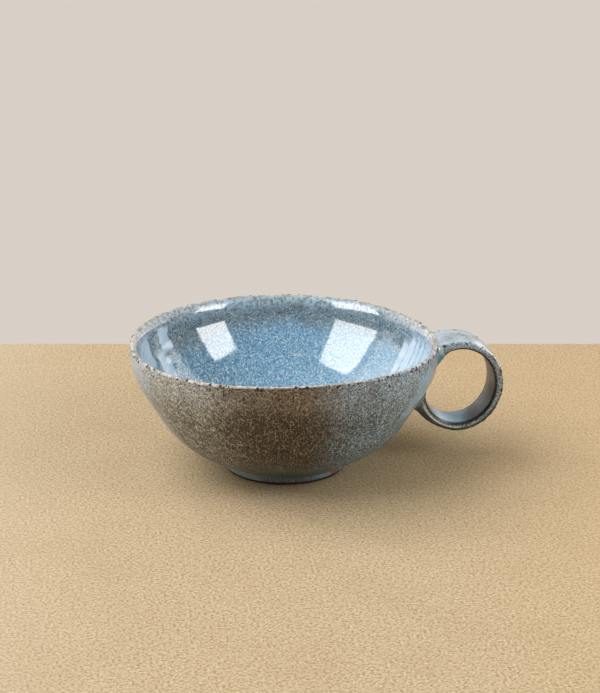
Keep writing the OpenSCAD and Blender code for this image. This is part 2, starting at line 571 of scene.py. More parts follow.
@dataclass(frozen=True)
class BlueLiner:
    """Glossy glaze of the inside, blue where it pooled and grey to buff where it thins near the lip. The
    pale runs down both sides are painted reflection streaks, and the milky sheet towards the handle is
    partly milky glaze and partly painted reflection.
    """

    deep: Colour = screen(62, 127, 167)
    clear: Colour = screen(106, 169, 206)
    dim: Colour = screen(48, 112, 142)
    crystal: Colour = screen(216, 234, 243)
    slate: Colour = screen(117, 133, 138)
    olive: Colour = screen(64, 68, 60)
    haze: Colour = screen(178, 204, 222)
    buff: Colour = screen(188, 201, 212)
    # Pale colour of the milky glaze and of the painted reflection streaks
    milk_and_reflection: Colour = screen(216, 236, 254)
    cream: Colour = screen(228, 230, 222)
    iron: Colour = screen(80, 60, 44)
    handle_side: float = -7.0
    mark: Patch = Patch(77.5, 3.4, 1.0, 33.6 * MM, 34.6 * MM)
    # Pale runs that are painted reflection streaks down both sides of the inside
    runs: tuple[Patch, ...] = (
        Patch(146.0, 3.0, 1.5, 44.0 * MM, 58.0 * MM), Patch(152.0, 3.0, 1.5, 30.0 * MM, 49.0 * MM),
        Patch(165.0, 4.5, 1.5, 41.0 * MM, 60.0 * MM), Patch(180.0, 10.0, 3.0, 35.0 * MM, 62.0 * MM),
        Patch(18.5, 1.5, 1.2, 33.0 * MM, 52.0 * MM), Patch(13.0, 1.8, 1.2, 34.0 * MM, 57.0 * MM),
        Patch(8.0, 1.4, 1.0, 36.0 * MM, 57.0 * MM), Patch(3.5, 1.5, 1.0, 38.0 * MM, 58.0 * MM),
        Patch(-7.0, 6.0, 1.5, 42.0 * MM, 61.0 * MM))
    painted_reflection_share: float = 0.92
    cloud: Grain = Grain(45.0, 4.0, 0.5)
    fine: Grain = Grain(1000.0, 3.0, 0.6)
    mottle: Grain = Grain(300.0, 4.0, 0.8)
    sway: Grain = Grain(150.0, 3.0, 0.6)
    wear: Grain = Grain(620.0, 3.0)
    ripple: Grain = Grain(160.0)
    strands: Strands = Strands(Grain(860.0, 2.0, 1.2), 0.035)
    needles: Needles = Needles(1650.0, 3.2, 0.635, ((0, 20, 40), (0, 20, 130), (0, -30, 85)))
    rust: Specks = Specks(900.0, 0.28, 0.42, 2.2)
    drift_height: float = 14.0 * MM
    clear_level: Ramp = Ramp(0.38, 0.62)
    dim_reach: Ramp = Ramp(-0.1, -0.8, 0.0, 0.58)
    milk_and_reflection_reach: Ramp = Ramp(0.0, 0.95, 0.0, 0.42)
    milk_and_reflection_fall: Ramp = Ramp(26.0 * MM, 42.0 * MM, 1.0, 0.35)
    mottle_level: Ramp = Ramp(0.42, 0.64, 0.0, 0.5)
    olive_level: Ramp = Ramp(0.46, 0.57, 0.0, 0.7)
    left_lift: Ramp = Ramp(-0.3, -0.85, 0.0, 3.0 * MM)
    middle_drop: Ramp = Ramp(0.75, 0.35, 0.0, 2.2 * MM)
    thin_rise: Ramp = Ramp(40.0 * MM, 50.0 * MM, 0.0, 0.85)
    thin_end: Ramp = Ramp(0.88, 0.99, 1.0, 0.3)
    crystal_thin: Ramp = Ramp(0.0, 1.0, 0.92, 0.6)
    mark_level: Ramp = Ramp(0.44, 0.56, 0.1, 0.9)
    buff_reach: Ramp = Ramp(0.35, 0.9)
    wear_level: Ramp = Ramp(0.44, 0.66, 0.0, 0.7)
    rim_rise: Ramp = Ramp(53.5 * MM, 59.0 * MM, 0.0, 0.85)
    rust_rise: Ramp = Ramp(46.0 * MM, 56.0 * MM, 0.0, 0.8)
    roughness: Ramp = Ramp(0.3, 0.7, 0.05, 0.09)
    rough_rise: Ramp = Ramp(58.5 * MM, 60.0 * MM, 0.0, 0.3)
    ripple_depth: float = 0.02 * MM
    fine_depth: float = 0.004 * MM
    ior: float = 1.65

    def material(self) -> bpy.types.Material:
        """Builds the finish as a node material."""
        sheet = ShaderSheet("blue_liner_glaze")
        drift = sheet.centred(sheet.grain(self.cloud))
        fine = sheet.grain(self.fine)
        body = sheet.mix(sheet.span(fine, self.clear_level), self.deep, self.clear)
        toward = sheet.toward(self.handle_side)
        across = sheet.math("ABSOLUTE", toward)
        side = sheet.plus(toward, drift)
        body = sheet.mix(sheet.span(side, self.dim_reach), body, self.dim)
        # Milky sheet towards the handle: partly milky glaze, partly painted reflection
        milky_reflection = sheet.times(sheet.span(side, self.milk_and_reflection_reach), sheet.span(sheet.z, self.milk_and_reflection_fall))
        body = sheet.mix(milky_reflection, body, self.milk_and_reflection)
        height = sheet.plus(sheet.z, sheet.times(drift, self.drift_height))
        mottle = sheet.span(sheet.grain(self.mottle), self.mottle_level)
        grey = sheet.mix(mottle, self.slate, self.olive)
        grey = sheet.mix(sheet.span(fine, self.olive_level), grey, self.olive)
        reach = sheet.plus(height, sheet.span(toward, self.left_lift))
        reach = sheet.minus(reach, sheet.span(across, self.middle_drop))
        thin = sheet.times(sheet.span(reach, self.thin_rise), sheet.span(toward, self.thin_end))
        body = sheet.mix(thin, body, grey)
        # Painted reflection streaks, in the milky colour, down both sides
        runs = sheet.times(sheet.patches(self.runs, sheet.grain(self.sway)), self.painted_reflection_share)
        body = sheet.mix(runs, body, self.milk_and_reflection)
        crystals = sheet.most(sheet.strands(self.strands), sheet.needles(self.needles))
        shown = sheet.times(crystals, sheet.span(thin, self.crystal_thin))
        body = sheet.mix(shown, body, self.crystal)
        flecks = sheet.times(sheet.patch(self.mark, fine), sheet.span(fine, self.mark_level))
        body = sheet.mix(flecks, body, self.cream)
        rim = sheet.mix(sheet.span(across, self.buff_reach), self.haze, self.buff)
        rim = sheet.mix(sheet.span(sheet.grain(self.wear), self.wear_level), rim, self.olive)
        body = sheet.mix(sheet.span(height, self.rim_rise), body, rim)
        rusty = sheet.times(sheet.specks(self.rust), sheet.span(height, self.rust_rise))
        body = sheet.mix(rusty, body, self.iron)
        rough = sheet.plus(sheet.span(fine, self.roughness), sheet.span(sheet.z, self.rough_rise))
        relief = sheet.bump(sheet.grain(self.ripple), self.ripple_depth)
        relief = sheet.bump(fine, self.fine_depth, relief)
        return sheet.surface(body, rough, relief, self.ior)


@dataclass(frozen=True)
class Stoneware:
    """Bare speckled clay, as it shows on the worn lip and under the foot."""

    buff: Colour = screen(232, 226, 217)
    toast: Colour = screen(158, 146, 132)
    ember: Colour = screen(158, 122, 100)
    iron: Colour = screen(58, 42, 32)
    cloud: Grain = Grain(320.0, 4.0)
    grain: Grain = Grain(1900.0, 3.0)
    spots: Specks = Specks(620.0, 0.3, 0.4)
    dots: Specks = Specks(1200.0, 0.35, 0.35)
    toast_level: Ramp = Ramp(0.38, 0.66)
    ember_fall: Ramp = Ramp(30.0 * MM, 10.0 * MM, 0.0, 0.8)
    iron_level: Ramp = Ramp(0.52, 0.78, 0.0, 0.45)
    roughness: Ramp = Ramp(0.3, 0.7, 0.25, 0.5)
    depth: float = 0.06 * MM
    ior: float = 1.5

    def material(self) -> bpy.types.Material:
        """Builds the finish as a node material."""
        sheet = ShaderSheet("bare_stoneware")
        grain = sheet.grain(self.grain)
        body = sheet.mix(sheet.span(sheet.grain(self.cloud), self.toast_level), self.buff, self.toast)
        body = sheet.mix(sheet.span(sheet.z, self.ember_fall), body, self.ember)
        body = sheet.mix(sheet.specks(self.spots), body, self.iron)
        body = sheet.mix(sheet.specks(self.dots), body, self.toast)
        body = sheet.mix(sheet.span(grain, self.iron_level), body, self.iron)
        rough = sheet.span(grain, self.roughness)
        return sheet.surface(body, rough, sheet.bump(grain, self.depth), self.ior)


@dataclass(frozen=True)
class FootDress:
    """Bare toasted clay of the foot, with a painted contact shadow darkening it towards the table."""

    clay: Colour = screen(142, 104, 88)
    toast: Colour = screen(104, 74, 60)
    # Dark of the clay's specks, also used for the painted contact shadow at the table
    speck_and_shadow_dark: Colour = screen(40, 32, 28)
    blush: Colour = screen(168, 122, 112)
    cloud: Grain = Grain(180.0, 3.0)
    grain: Grain = Grain(1600.0, 3.0)
    spots: Specks = Specks(700.0, 0.25, 0.3)
    toast_level: Ramp = Ramp(0.4, 0.7)
    blush_level: Ramp = Ramp(0.5, 0.7, 0.0, 0.6)
    # Painted contact shadow along the table
    contact_shadow_fall: Ramp = Ramp(3.0 * MM, 0.8 * MM, 0.0, 0.9)
    roughness: Ramp = Ramp(0.3, 0.7, 0.6, 0.82)
    depth: float = 0.06 * MM
    ior: float = 1.5

    def material(self) -> bpy.types.Material:
        """Builds the finish as a node material."""
        sheet = ShaderSheet("toasted_foot")
        grain = sheet.grain(self.grain)
        body = sheet.mix(sheet.span(grain, self.toast_level), self.clay, self.toast)
        body = sheet.mix(sheet.span(sheet.grain(self.cloud), self.blush_level), body, self.blush)
        # Painted contact shadow along the table
        body = sheet.mix(sheet.span(sheet.z, self.contact_shadow_fall), body, self.speck_and_shadow_dark)
        body = sheet.mix(sheet.specks(self.spots), body, self.speck_and_shadow_dark)
        rough = sheet.span(grain, self.roughness)
        return sheet.surface(body, rough, sheet.bump(grain, self.depth), self.ior)


@dataclass(frozen=True)
class StrapGlaze:
    """Glaze of the strap: pale blue-grey on its back, breaking to iron brown along its corners. Painted
    highlights run along some corners, painted shade with dark glaze lies in the inner corners, painted
    shade darkens the underside of the lower strap, and a pale blue lies towards the bottom of the inner
    face.
    """

    mist: Colour = screen(190, 210, 232)
    slate: Colour = screen(140, 148, 150)
    crystal: Colour = screen(224, 233, 240)
    pool: Colour = screen(160, 218, 255)
    gloom: Colour = screen(30, 31, 30)
    dun: Colour = screen(94, 88, 76)
    rust: Colour = screen(84, 74, 58)
    chalk: Colour = screen(172, 192, 206)
    pepper: Colour = screen(60, 61, 56)
    olive: Colour = screen(46, 45, 36)
    pitch: Colour = screen(20, 21, 17)
    umber: Colour = screen(58, 68, 76)
    iron: Colour = screen(34, 25, 19)
    # Colour of the painted highlights along the corners
    glint: Colour = screen(242, 247, 250)
    cloud: Grain = Grain(90.0, 4.0, 0.5)
    grain: Grain = Grain(1300.0)
    salt: Grain = Grain(1700.0, 2.0, 0.3)
    blots: Grain = Grain(620.0, 2.0, 0.2)
    gaps: Grain = Grain(700.0)
    strands: Strands = Strands(Grain(520.0, 2.0, 1.3), 0.055)
    drift_height: float = 6.0 * MM
    slate_level: Ramp = Ramp(0.4, 0.7)
    dun_rise: Ramp = Ramp(27.0 * MM, 32.0 * MM)
    low_blue_tilt: Ramp = Ramp(75.0 * MM, 93.0 * MM, -2.2 * MM, 1.0 * MM)
    low_blue_top: Ramp = Ramp(16.0 * MM, 24.0 * MM)
    hollow_share: float = 0.9
    strand_share: float = 0.35
    rust_level: Ramp = Ramp(0.48, 0.68, 0.0, 0.5)
    salt_level: Ramp = Ramp(0.43, 0.59)
    salt_edge: Ramp = Ramp(0.4, 0.9)
    salt_fall: Ramp = Ramp(60.0 * MM, 48.0 * MM, 0.7, 0.9)
    # Dark glaze with painted shade in the crease of the inner corners
    olive_and_shade_corner: Ramp = Ramp(0.06, 0.36, 0.0, 0.88)
    pitch_across: Ramp = Ramp(4.5 * MM, -3.5 * MM)
    pitch_out: Ramp = Ramp(80.0 * MM, 90.0 * MM)
    pitch_fall: Ramp = Ramp(41.0 * MM, 31.0 * MM)
    pitch_hollow: Ramp = Ramp(0.3, 0.8, 0.0, 0.85)
    # Painted shade on the underside of the lower strap
    underside_shade_outward: Ramp = Ramp(0.02, 0.3)
    underside_shade_fall: Ramp = Ramp(33.0 * MM, 25.0 * MM, 0.0, 0.85)
    blot_corner: float = 0.08
    blot_level: Ramp = Ramp(0.63, 0.68)
    iron_corner: Ramp = Ramp(0.1, 0.6)
    # Where the painted highlights lie
    highlight_corner: Ramp = Ramp(0.55, 0.85)
    highlight_rise: Ramp = Ramp(41.0 * MM, 46.0 * MM)
    highlight_out: Ramp = Ramp(86.0 * MM, 90.0 * MM)
    highlight_outward: Ramp = Ramp(0.3, 0.6)
    low_highlight_fall: Ramp = Ramp(30.0 * MM, 26.0 * MM)
    low_highlight_in: Ramp = Ramp(83.0 * MM, 79.0 * MM)
    low_highlight_corner: Ramp = Ramp(0.2, 0.03)
    low_highlight_edge: Ramp = Ramp(0.6, 0.95)
    highlight_gap_level: Ramp = Ramp(0.35, 0.5, 0.4, 1.0)
    roughness: Ramp = Ramp(0.3, 0.7, 0.08, 0.15)
    hollow_rough: float = 0.22
    edge_smooth: float = 0.06
    calm_edge: Ramp = Ramp(0.2, 0.9, 1.0, 0.15)
    grain_depth: float = 0.02 * MM
    strand_depth: float = 0.04 * MM
    ior: float = 1.48

    def material(self) -> bpy.types.Material:
        """Builds the finish as a node material."""
        sheet = ShaderSheet("strap_glaze")
        edge, corner, hollow, outward = (sheet.attribute(label) for label in STRAP_LABELS)
        cloud, grain = sheet.grain(self.cloud), sheet.grain(self.grain)
        strands = sheet.strands(self.strands)
        height = sheet.plus(sheet.z, sheet.times(sheet.centred(cloud), self.drift_height))
        body = sheet.mix(sheet.span(cloud, self.slate_level), self.mist, self.slate)
        under = sheet.mix(sheet.span(height, self.dun_rise), self.gloom, self.dun)
        # Pale blue towards the bottom of the strap's inner face, reaching higher near the wall
        level = sheet.plus(height, sheet.span(sheet.x, self.low_blue_tilt))
        under = sheet.mix(sheet.span(level, self.low_blue_top), self.pool, under)
        body = sheet.mix(sheet.times(hollow, self.hollow_share), body, under)
        body = sheet.mix(sheet.times(strands, self.strand_share), body, self.crystal)
        body = sheet.mix(sheet.span(grain, self.rust_level), body, self.rust)
        salt = sheet.span(sheet.grain(self.salt), self.salt_level)
        side = sheet.times(sheet.span(edge, self.salt_edge), sheet.span(height, self.salt_fall))
        body = sheet.mix(side, body, sheet.mix(salt, self.chalk, self.pepper))
        # Olive along the inner corners: dark glaze with painted shade in the crease
        inner = sheet.span(sheet.times(corner, hollow), self.olive_and_shade_corner)
        body = sheet.mix(inner, body, self.olive)
        dark = sheet.times(sheet.span(sheet.y, self.pitch_across), sheet.span(sheet.x, self.pitch_out),
                           sheet.span(height, self.pitch_fall), sheet.span(hollow, self.pitch_hollow))
        body = sheet.mix(dark, body, self.pitch)
        # Painted shade on the underside of the lower strap
        low = sheet.times(sheet.span(outward, self.underside_shade_outward), sheet.span(height, self.underside_shade_fall))
        body = sheet.mix(low, body, self.umber)
        blots = sheet.plus(sheet.grain(self.blots), sheet.times(corner, self.blot_corner))
        blots = sheet.times(sheet.span(blots, self.blot_level), sheet.span(corner, self.iron_corner))
        body = sheet.mix(blots, body, self.iron)
        # Painted highlights along the corners
        body = sheet.mix(self.painted_highlights(sheet, edge, corner, outward), body, self.glint)
        rough = sheet.plus(sheet.span(cloud, self.roughness), sheet.times(hollow, self.hollow_rough))
        rough = sheet.minus(rough, sheet.times(edge, self.edge_smooth))
        calm = sheet.span(edge, self.calm_edge)
        relief = sheet.bump(sheet.times(grain, calm), self.grain_depth)
        relief = sheet.bump(sheet.times(strands, calm), self.strand_depth, relief)
        return sheet.surface(body, rough, relief, self.ior)

    def painted_highlights(self, sheet: ShaderSheet, edge: Socket, corner: Socket, outward: Socket) -> Socket:
        """Says where painted highlights lie along the corners.

        Args:
            sheet: Sheet of the material.
            edge: Share of the strap's narrow sides.
            corner: Share of the strap's corners.
            outward: Share of the side that faces away from the ring's middle.

        Returns:
            The painted highlights' share.
        """
        high = sheet.times(sheet.span(sheet.z, self.highlight_rise), sheet.span(sheet.x, self.highlight_out),
                           sheet.span(outward, self.highlight_outward))
        line = sheet.times(sheet.span(corner, self.highlight_corner), high)
        low = sheet.times(sheet.span(sheet.z, self.low_highlight_fall), sheet.span(sheet.x, self.low_highlight_in),
                          sheet.span(corner, self.low_highlight_corner), sheet.span(edge, self.low_highlight_edge))
        broken = sheet.span(sheet.grain(self.gaps), self.highlight_gap_level)
        return sheet.times(sheet.most(line, low), broken)


@dataclass(frozen=True)
class JointSlip:
    """Thick glossy glaze that pooled in the corners between the strap and the wall, with painted shade on
    the underside of the lower joint.
    """

    pool: Colour = screen(84, 150, 182)
    frost: Colour = screen(186, 214, 234)
    slate: Colour = screen(124, 150, 166)
    umber: Colour = screen(58, 47, 36)
    cloud: Grain = Grain(240.0, 3.0, 0.5)
    fine: Grain = Grain(1500.0)
    drift_height: float = 8.0 * MM
    pool_fall: Ramp = Ramp(55.8 * MM, 52.5 * MM)
    slate_fall: Ramp = Ramp(42.0 * MM, 38.0 * MM, 0.0, 0.85)
    # Painted shade on the underside of the lower joint
    underside_shade_fall: Ramp = Ramp(31.0 * MM, 26.0 * MM, 0.0, 0.9)
    frost_level: Ramp = Ramp(0.6, 0.75, 0.0, 0.4)
    roughness: Ramp = Ramp(0.3, 0.7, 0.07, 0.14)
    depth: float = 0.02 * MM
    ior: float = 1.6

    def material(self) -> bpy.types.Material:
        """Builds the finish as a node material."""
        sheet = ShaderSheet("joint_slip_glaze")
        cloud, fine = sheet.grain(self.cloud), sheet.grain(self.fine)
        height = sheet.plus(sheet.z, sheet.times(sheet.centred(cloud), self.drift_height))
        body = sheet.mix(sheet.span(height, self.pool_fall), self.frost, self.pool)
        body = sheet.mix(sheet.span(sheet.z, self.slate_fall), body, self.slate)
        # Painted shade on the underside of the lower joint
        body = sheet.mix(sheet.span(sheet.z, self.underside_shade_fall), body, self.umber)
        body = sheet.mix(sheet.span(fine, self.frost_level), body, self.frost)
        rough = sheet.span(cloud, self.roughness)
        return sheet.surface(body, rough, sheet.bump(fine, self.depth), self.ior)


@dataclass(frozen=True)
class IronSpot:
    """Melted iron that bled through the glaze in dark, faintly shining spots."""

    core: Colour = screen(18, 12, 8)
    halo: Colour = screen(64, 41, 25)
    cloud: Grain = Grain(400.0)
    grain: Grain = Grain(2600.0)
    halo_level: Ramp = Ramp(0.4, 0.7)
    roughness: Ramp = Ramp(0.3, 0.7, 0.34, 0.5)
    depth: float = 0.03 * MM
    ior: float = 1.55

    def material(self) -> bpy.types.Material:
        """Builds the finish as a node material."""
        sheet = ShaderSheet("iron_spot")
        grain = sheet.grain(self.grain)
        body = sheet.mix(sheet.span(sheet.grain(self.cloud), self.halo_level), self.core, self.halo)
        rough = sheet.span(grain, self.roughness)
        return sheet.surface(body, rough, sheet.bump(grain, self.depth), self.ior)


@dataclass(frozen=True)
class FloorPaper:
    """Warm matt paper of the floor, and a paler sheet behind it. Painted light brightens the paper towards
    the left, and a painted warm tint lies in the shadow towards the right.
    """

    sand: Colour = screen(214, 192, 158)
    fleck: Colour = screen(176, 150, 112)
    # Pale fibres, also used for the painted light towards the left
    fibre_and_painted_light: Colour = screen(232, 216, 190)
    # Painted warmth of the shadow towards the right
    painted_shadow_warmth: Colour = screen(224, 186, 136)
    pale: Colour = screen(216, 208, 199)
    border: float = 178.0 * MM
    border_heading: float = 82.6
    grain: Grain = Grain(900.0, 4.0)
    cloud: Grain = Grain(30.0, 3.0)
    fleck_level: Ramp = Ramp(0.45, 0.68, 0.0, 0.95)
    fibre_level: Ramp = Ramp(0.45, 0.30, 0.0, 0.8)
    stain_level: Ramp = Ramp(0.4, 0.7, 0.0, 0.12)
    painted_light_left: Ramp = Ramp(-50.0 * MM, -280.0 * MM, 0.0, 0.75)
    painted_shadow_warmth_right: Ramp = Ramp(30.0 * MM, 140.0 * MM, 0.0, 0.18)
    depth: float = 0.02 * MM

    def material(self) -> bpy.types.Material:
        """Builds the finish as a node material."""
        sheet = ShaderSheet("floor_paper")
        grain = sheet.grain(self.grain)
        body = sheet.mix(sheet.span(grain, self.fleck_level), self.sand, self.fleck)
        body = sheet.mix(sheet.span(grain, self.fibre_level), body, self.fibre_and_painted_light)
        body = sheet.mix(sheet.span(sheet.grain(self.cloud), self.stain_level), body, self.fleck)
        # Painted light: the paper pales towards the left
        body = sheet.mix(sheet.span(sheet.x, self.painted_light_left), body, self.fibre_and_painted_light)
        # Painted warmth in the shadow towards the right
        body = sheet.mix(sheet.span(sheet.x, self.painted_shadow_warmth_right), body, self.painted_shadow_warmth)
        behind = sheet.math("GREATER_THAN", sheet.along(self.border_heading), self.border)
        matt = sheet.node("ShaderNodeBsdfDiffuse", {"Color": body, "Normal": sheet.bump(grain, self.depth)})
        glow = sheet.node("ShaderNodeEmission", {"Color": self.pale})
        return sheet.close(sheet.node("ShaderNodeMixShader", {
            0: behind, 1: matt.outputs[0], 2: glow.outputs[0]}))


class GeometrySheet(NodeSheet):
    """A geometry node tree with named inputs, run on a mesh and turned into a plain mesh."""

    def __init__(self, name: str, floats: Sequence[str], whole: str) -> None:
        """Makes the tree with its sockets.

        Args:
            name: Name of the tree.
            floats: Names of its inputs that are real numbers.
            whole: Name of its input that is a whole number.
        """
        super().__init__(bpy.data.node_groups.new(name, "GeometryNodeTree"))
        self.tree.is_modifier = True
        face = self.tree.interface
        face.new_socket("geometry", in_out="OUTPUT", socket_type="NodeSocketGeometry")
        kinds = {"geometry": "Geometry", "material": "Material", whole: "Int"}
        kinds.update(dict.fromkeys(floats, "Float"))
        for label, kind in kinds.items():
            face.new_socket(label, in_out="INPUT", socket_type=f"NodeSocket{kind}")
        self.given = self.node("NodeGroupInput").outputs
        self.result = self.node("NodeGroupOutput").inputs[0]

    def close(self, geometry: Socket) -> None:
        """Ends the tree in plain, smooth faces that carry the given finish."""
        plain = self.node("GeometryNodeRealizeInstances", {0: geometry})
        smooth = self.node("GeometryNodeSetShadeSmooth", {"Geometry": plain.outputs[0]})
        dressed = self.node("GeometryNodeSetMaterial", {
            "Geometry": smooth.outputs[0], "Material": self.given["material"]})
        self.feed(self.result, dressed.outputs[0])

    def run(self, source: bpy.types.Mesh, **values: object) -> bpy.types.Mesh:
        """Runs the tree on a mesh.

        Args:
            source: What the tree starts from.
            **values: A value for each named input.

        Returns:
            The result as a plain mesh.
        """
        carrier = bpy.data.objects.new("node_carrier", source)
        bpy.context.scene.collection.objects.link(carrier)
        modifier = carrier.modifiers.new("nodes", "NODES")
        modifier.node_group = self.tree
        for item in self.tree.interface.items_tree:
            if item.in_out == "INPUT" and item.name in values:
                modifier[item.identifier] = values[item.name]
        seen = carrier.evaluated_get(bpy.context.evaluated_depsgraph_get())
        made = bpy.data.meshes.new_from_object(seen)
        carrier.modifiers.clear()
        bpy.data.objects.remove(carrier)
        bpy.data.meshes.remove(source)
        return made


@dataclass(frozen=True)
class ThrowingMarks:
    """Marks that the fingers leave in turning clay, and the slow drift of a form made by hand."""

    ring_depth: float = 0.0
    ring_pitch: float = 6.5 * MM
    ring_low: float = 20.0 * MM
    ring_high: float = 50.0 * MM
    quiet_heading: float = math.radians(83.0)
    quiet_share: float = 1.0
    drift_depth: float = 0.0
    drift_scale: float = 55.0
    seed: float = 3.0


class PottersWheel(GeometrySheet):
    """Node tree that turns a section about the axis and leaves throwing marks on it."""

    hub: float = 0.1
    wander: Grain = Grain(22.0, 1.0)
    wander_turns: float = 1.5
    quiet_reach: Ramp = Ramp(0.45, 0.85)

    def __init__(self) -> None:
        """Builds the tree."""
        super().__init__("potters_wheel", [mark.name for mark in fields(ThrowingMarks)], "segments")
        line = self.node("GeometryNodeMeshToCurve", {"Mesh": self.given["geometry"]})
        laid = self.node("GeometryNodeTransform", {
            "Geometry": line.outputs[0], "Translation": (-self.hub, 0.0, 0.0),
            "Rotation": (math.pi / 2, 0.0, 0.0)})
        circle = self.node("GeometryNodeCurvePrimitiveCircle", {
            "Resolution": self.given["segments"], "Radius": self.hub})
        upright = self.node("GeometryNodeSetCurveNormal", {"Curve": circle.outputs["Curve"]}, mode="Z_UP")
        swept = self.node("GeometryNodeCurveToMesh", {
            "Curve": upright.outputs[0], "Profile Curve": laid.outputs[0]})
        closed = self.node("GeometryNodeMergeByDistance", {
            "Geometry": swept.outputs[0], "Distance": MERGE_GAP})
        moved = self.node("GeometryNodeSetPosition", {
            "Geometry": closed.outputs[0], "Offset": self.marks()})
        self.close(moved.outputs[0])

    def marks(self) -> Socket:
        """Works out how far each point moves along its normal.

        Returns:
            The offset's socket.
        """
        given = self.given
        place = self.node("GeometryNodeInputPosition").outputs[0]
        x, y, z = self.node("ShaderNodeSeparateXYZ", {0: place}).outputs
        heading = self.math("ARCTAN2", y, x)
        seeded = self.node("ShaderNodeVectorMath", {0: place, 1: given["seed"]}, operation="ADD").outputs[0]
        wander = self.times(self.noise(seeded, self.wander), self.wander_turns)
        drift = self.noise(seeded, Grain(given["drift_scale"]))
        turns = self.plus(self.math("DIVIDE", z, given["ring_pitch"]),
                          self.math("DIVIDE", heading, FULL_TURN), wander)
        wave = self.math("SINE", self.times(turns, FULL_TURN))
        apart = self.math("COSINE", self.minus(heading, given["quiet_heading"]))
        quiet = self.times(self.span(apart, self.quiet_reach), given["quiet_share"])
        gain = self.times(self.span(z, Ramp(given["ring_low"], given["ring_high"])), self.minus(1.0, quiet))
        rings = self.times(wave, gain, given["ring_depth"])
        uneven = self.times(self.centred(drift), given["drift_depth"])
        normal = self.node("GeometryNodeInputNormal").outputs[0]
        inputs = {0: normal, "Scale": self.plus(rings, uneven)}
        return self.node("ShaderNodeVectorMath", inputs, operation="SCALE").outputs[0]

    def turn(self, section: np.ndarray, loop: bool, segments: int, marks: ThrowingMarks,
             finish: bpy.types.Material) -> bpy.types.Mesh:
        """Turns a section into a closed mesh.

        Args:
            section: Radius and height of each point of the section.
            loop: Whether the section closes on itself clear of the axis.
            segments: Number of steps round the axis.
            marks: Marks left on the form.
            finish: Material of all its faces.

        Returns:
            The turned mesh.
        """
        count = len(section)
        edges = [(i, (i + 1) % count) for i in range(count if loop else count - 1)]
        chain = bpy.data.meshes.new("section")
        chain.from_pydata([(r, 0.0, z) for r, z in section], edges, [])
        return self.run(chain, segments=segments, material=finish, **asdict(marks))


@dataclass(frozen=True)
class Scatter:
    """How spots lie on a band: how many to the square metre, how large, and how tall for their width."""

    density: float
    smallest: float
    largest: float
    upright: float
    seed: int


class SpotShaker(GeometrySheet):
    """Node tree that scatters low, round spots over a band of faces."""

    clumps: Grain = Grain(150.0)
    clump_level: Ramp = Ramp(0.40, 0.62, 0.5, 1.5)
    rarity: float = 1.5
    widths: tuple[float, float] = (0.8, 1.25)
    heights: tuple[float, float] = (0.8, 1.3)
    flatness: float = 0.3
    bead_segments: int = 8
    bead_rings: int = 4
    size_seed: int = 1
    width_seed: int = 2
    height_seed: int = 3

    def __init__(self) -> None:
        """Builds the tree."""
        super().__init__("spot_shaker", ("density", "smallest", "largest", "upright"), "seed")
        given = self.given
        place = self.node("GeometryNodeInputPosition").outputs[0]
        patchy = self.span(self.noise(place, self.clumps), self.clump_level)
        strewn = self.node("GeometryNodeDistributePointsOnFaces", {
            "Mesh": given["geometry"], "Density": self.times(given["density"], patchy),
            "Seed": given["seed"]}, distribute_method="RANDOM")
        raised = self.node("FunctionNodeAlignRotationToVector", {
            "Rotation": strewn.outputs["Rotation"], "Vector": (0.0, 0.0, 1.0)}, axis="Y", pivot_axis="Z")
        rare = self.math("POWER", self.random(0.0, 1.0, self.size_seed), self.rarity)
        sizes = (rare, 0.0, 1.0, given["smallest"], given["largest"])
        reach = self.node("ShaderNodeMapRange", dict(enumerate(sizes))).outputs["Result"]
        wide = self.times(reach, self.random(*self.widths, self.width_seed))
        longer = self.times(self.random(*self.heights, self.height_seed), given["upright"])
        tall = self.times(reach, longer)
        scale = self.node("ShaderNodeCombineXYZ", {0: wide, 1: tall, 2: self.times(reach, self.flatness)})
        bead = self.node("GeometryNodeMeshUVSphere", {
            "Segments": self.bead_segments, "Rings": self.bead_rings, "Radius": 1.0})
        placed = self.node("GeometryNodeInstanceOnPoints", {
            "Points": strewn.outputs["Points"], "Instance": bead.outputs["Mesh"],
            "Rotation": raised.outputs[0], "Scale": scale.outputs[0]})
        self.close(placed.outputs[0])

    def random(self, low: float, high: float, seed: int) -> Socket:
        """Gives each spot a random number.

        Args:
            low: Least value.
            high: Greatest value.
            seed: Fixed start of the row of numbers.

        Returns:
            The number's socket.
        """
        inputs = {RANDOM_LEAST: low, RANDOM_GREATEST: high, "Seed": seed}
        return self.node("FunctionNodeRandomValue", inputs, data_type="FLOAT").outputs[RANDOM_RESULT]


def unit(vector: np.ndarray) -> np.ndarray:
    """The vector at length 1, along its last axis."""
    return vector / np.linalg.norm(vector, axis=-1, keepdims=True)


def ease(share: np.ndarray) -> np.ndarray:
    """Eases a share from 0 to 1."""
    held = np.clip(share, 0, 1)
    return held * held * (3 - 2 * held)


def rounded(corners: Sequence[np.ndarray], radii: Sequence[float], steps: int) -> np.ndarray:
    """Draws a line through corners, with each inner corner rounded.

    Args:
        corners: The line's ends and corners.
        radii: Radius at each corner between the ends.
        steps: Straight steps along each round.

    Returns:
        Points along the line.
    """
    line = [corners[0]]
    for before, corner, after, radius in zip(corners, corners[1:], corners[2:], radii):
        back, on = unit(before - corner), unit(after - corner)
        half = math.acos(float(np.clip(back @ on, -1, 1))) / 2
        centre = corner + radius / math.sin(half) * unit(back + on)
        first = corner + radius / math.tan(half) * back - centre
        turn = math.pi - 2 * half
        sign = 1.0 if first[0] * on[1] - first[1] * on[0] > 0 else -1.0
        start = math.atan2(first[1], first[0])
        for angle in start + sign * turn * np.linspace(0, 1, steps + 1):
            line.append(centre + radius * np.array([math.cos(angle), math.sin(angle)]))
    line.append(corners[-1])
    return np.array(line)


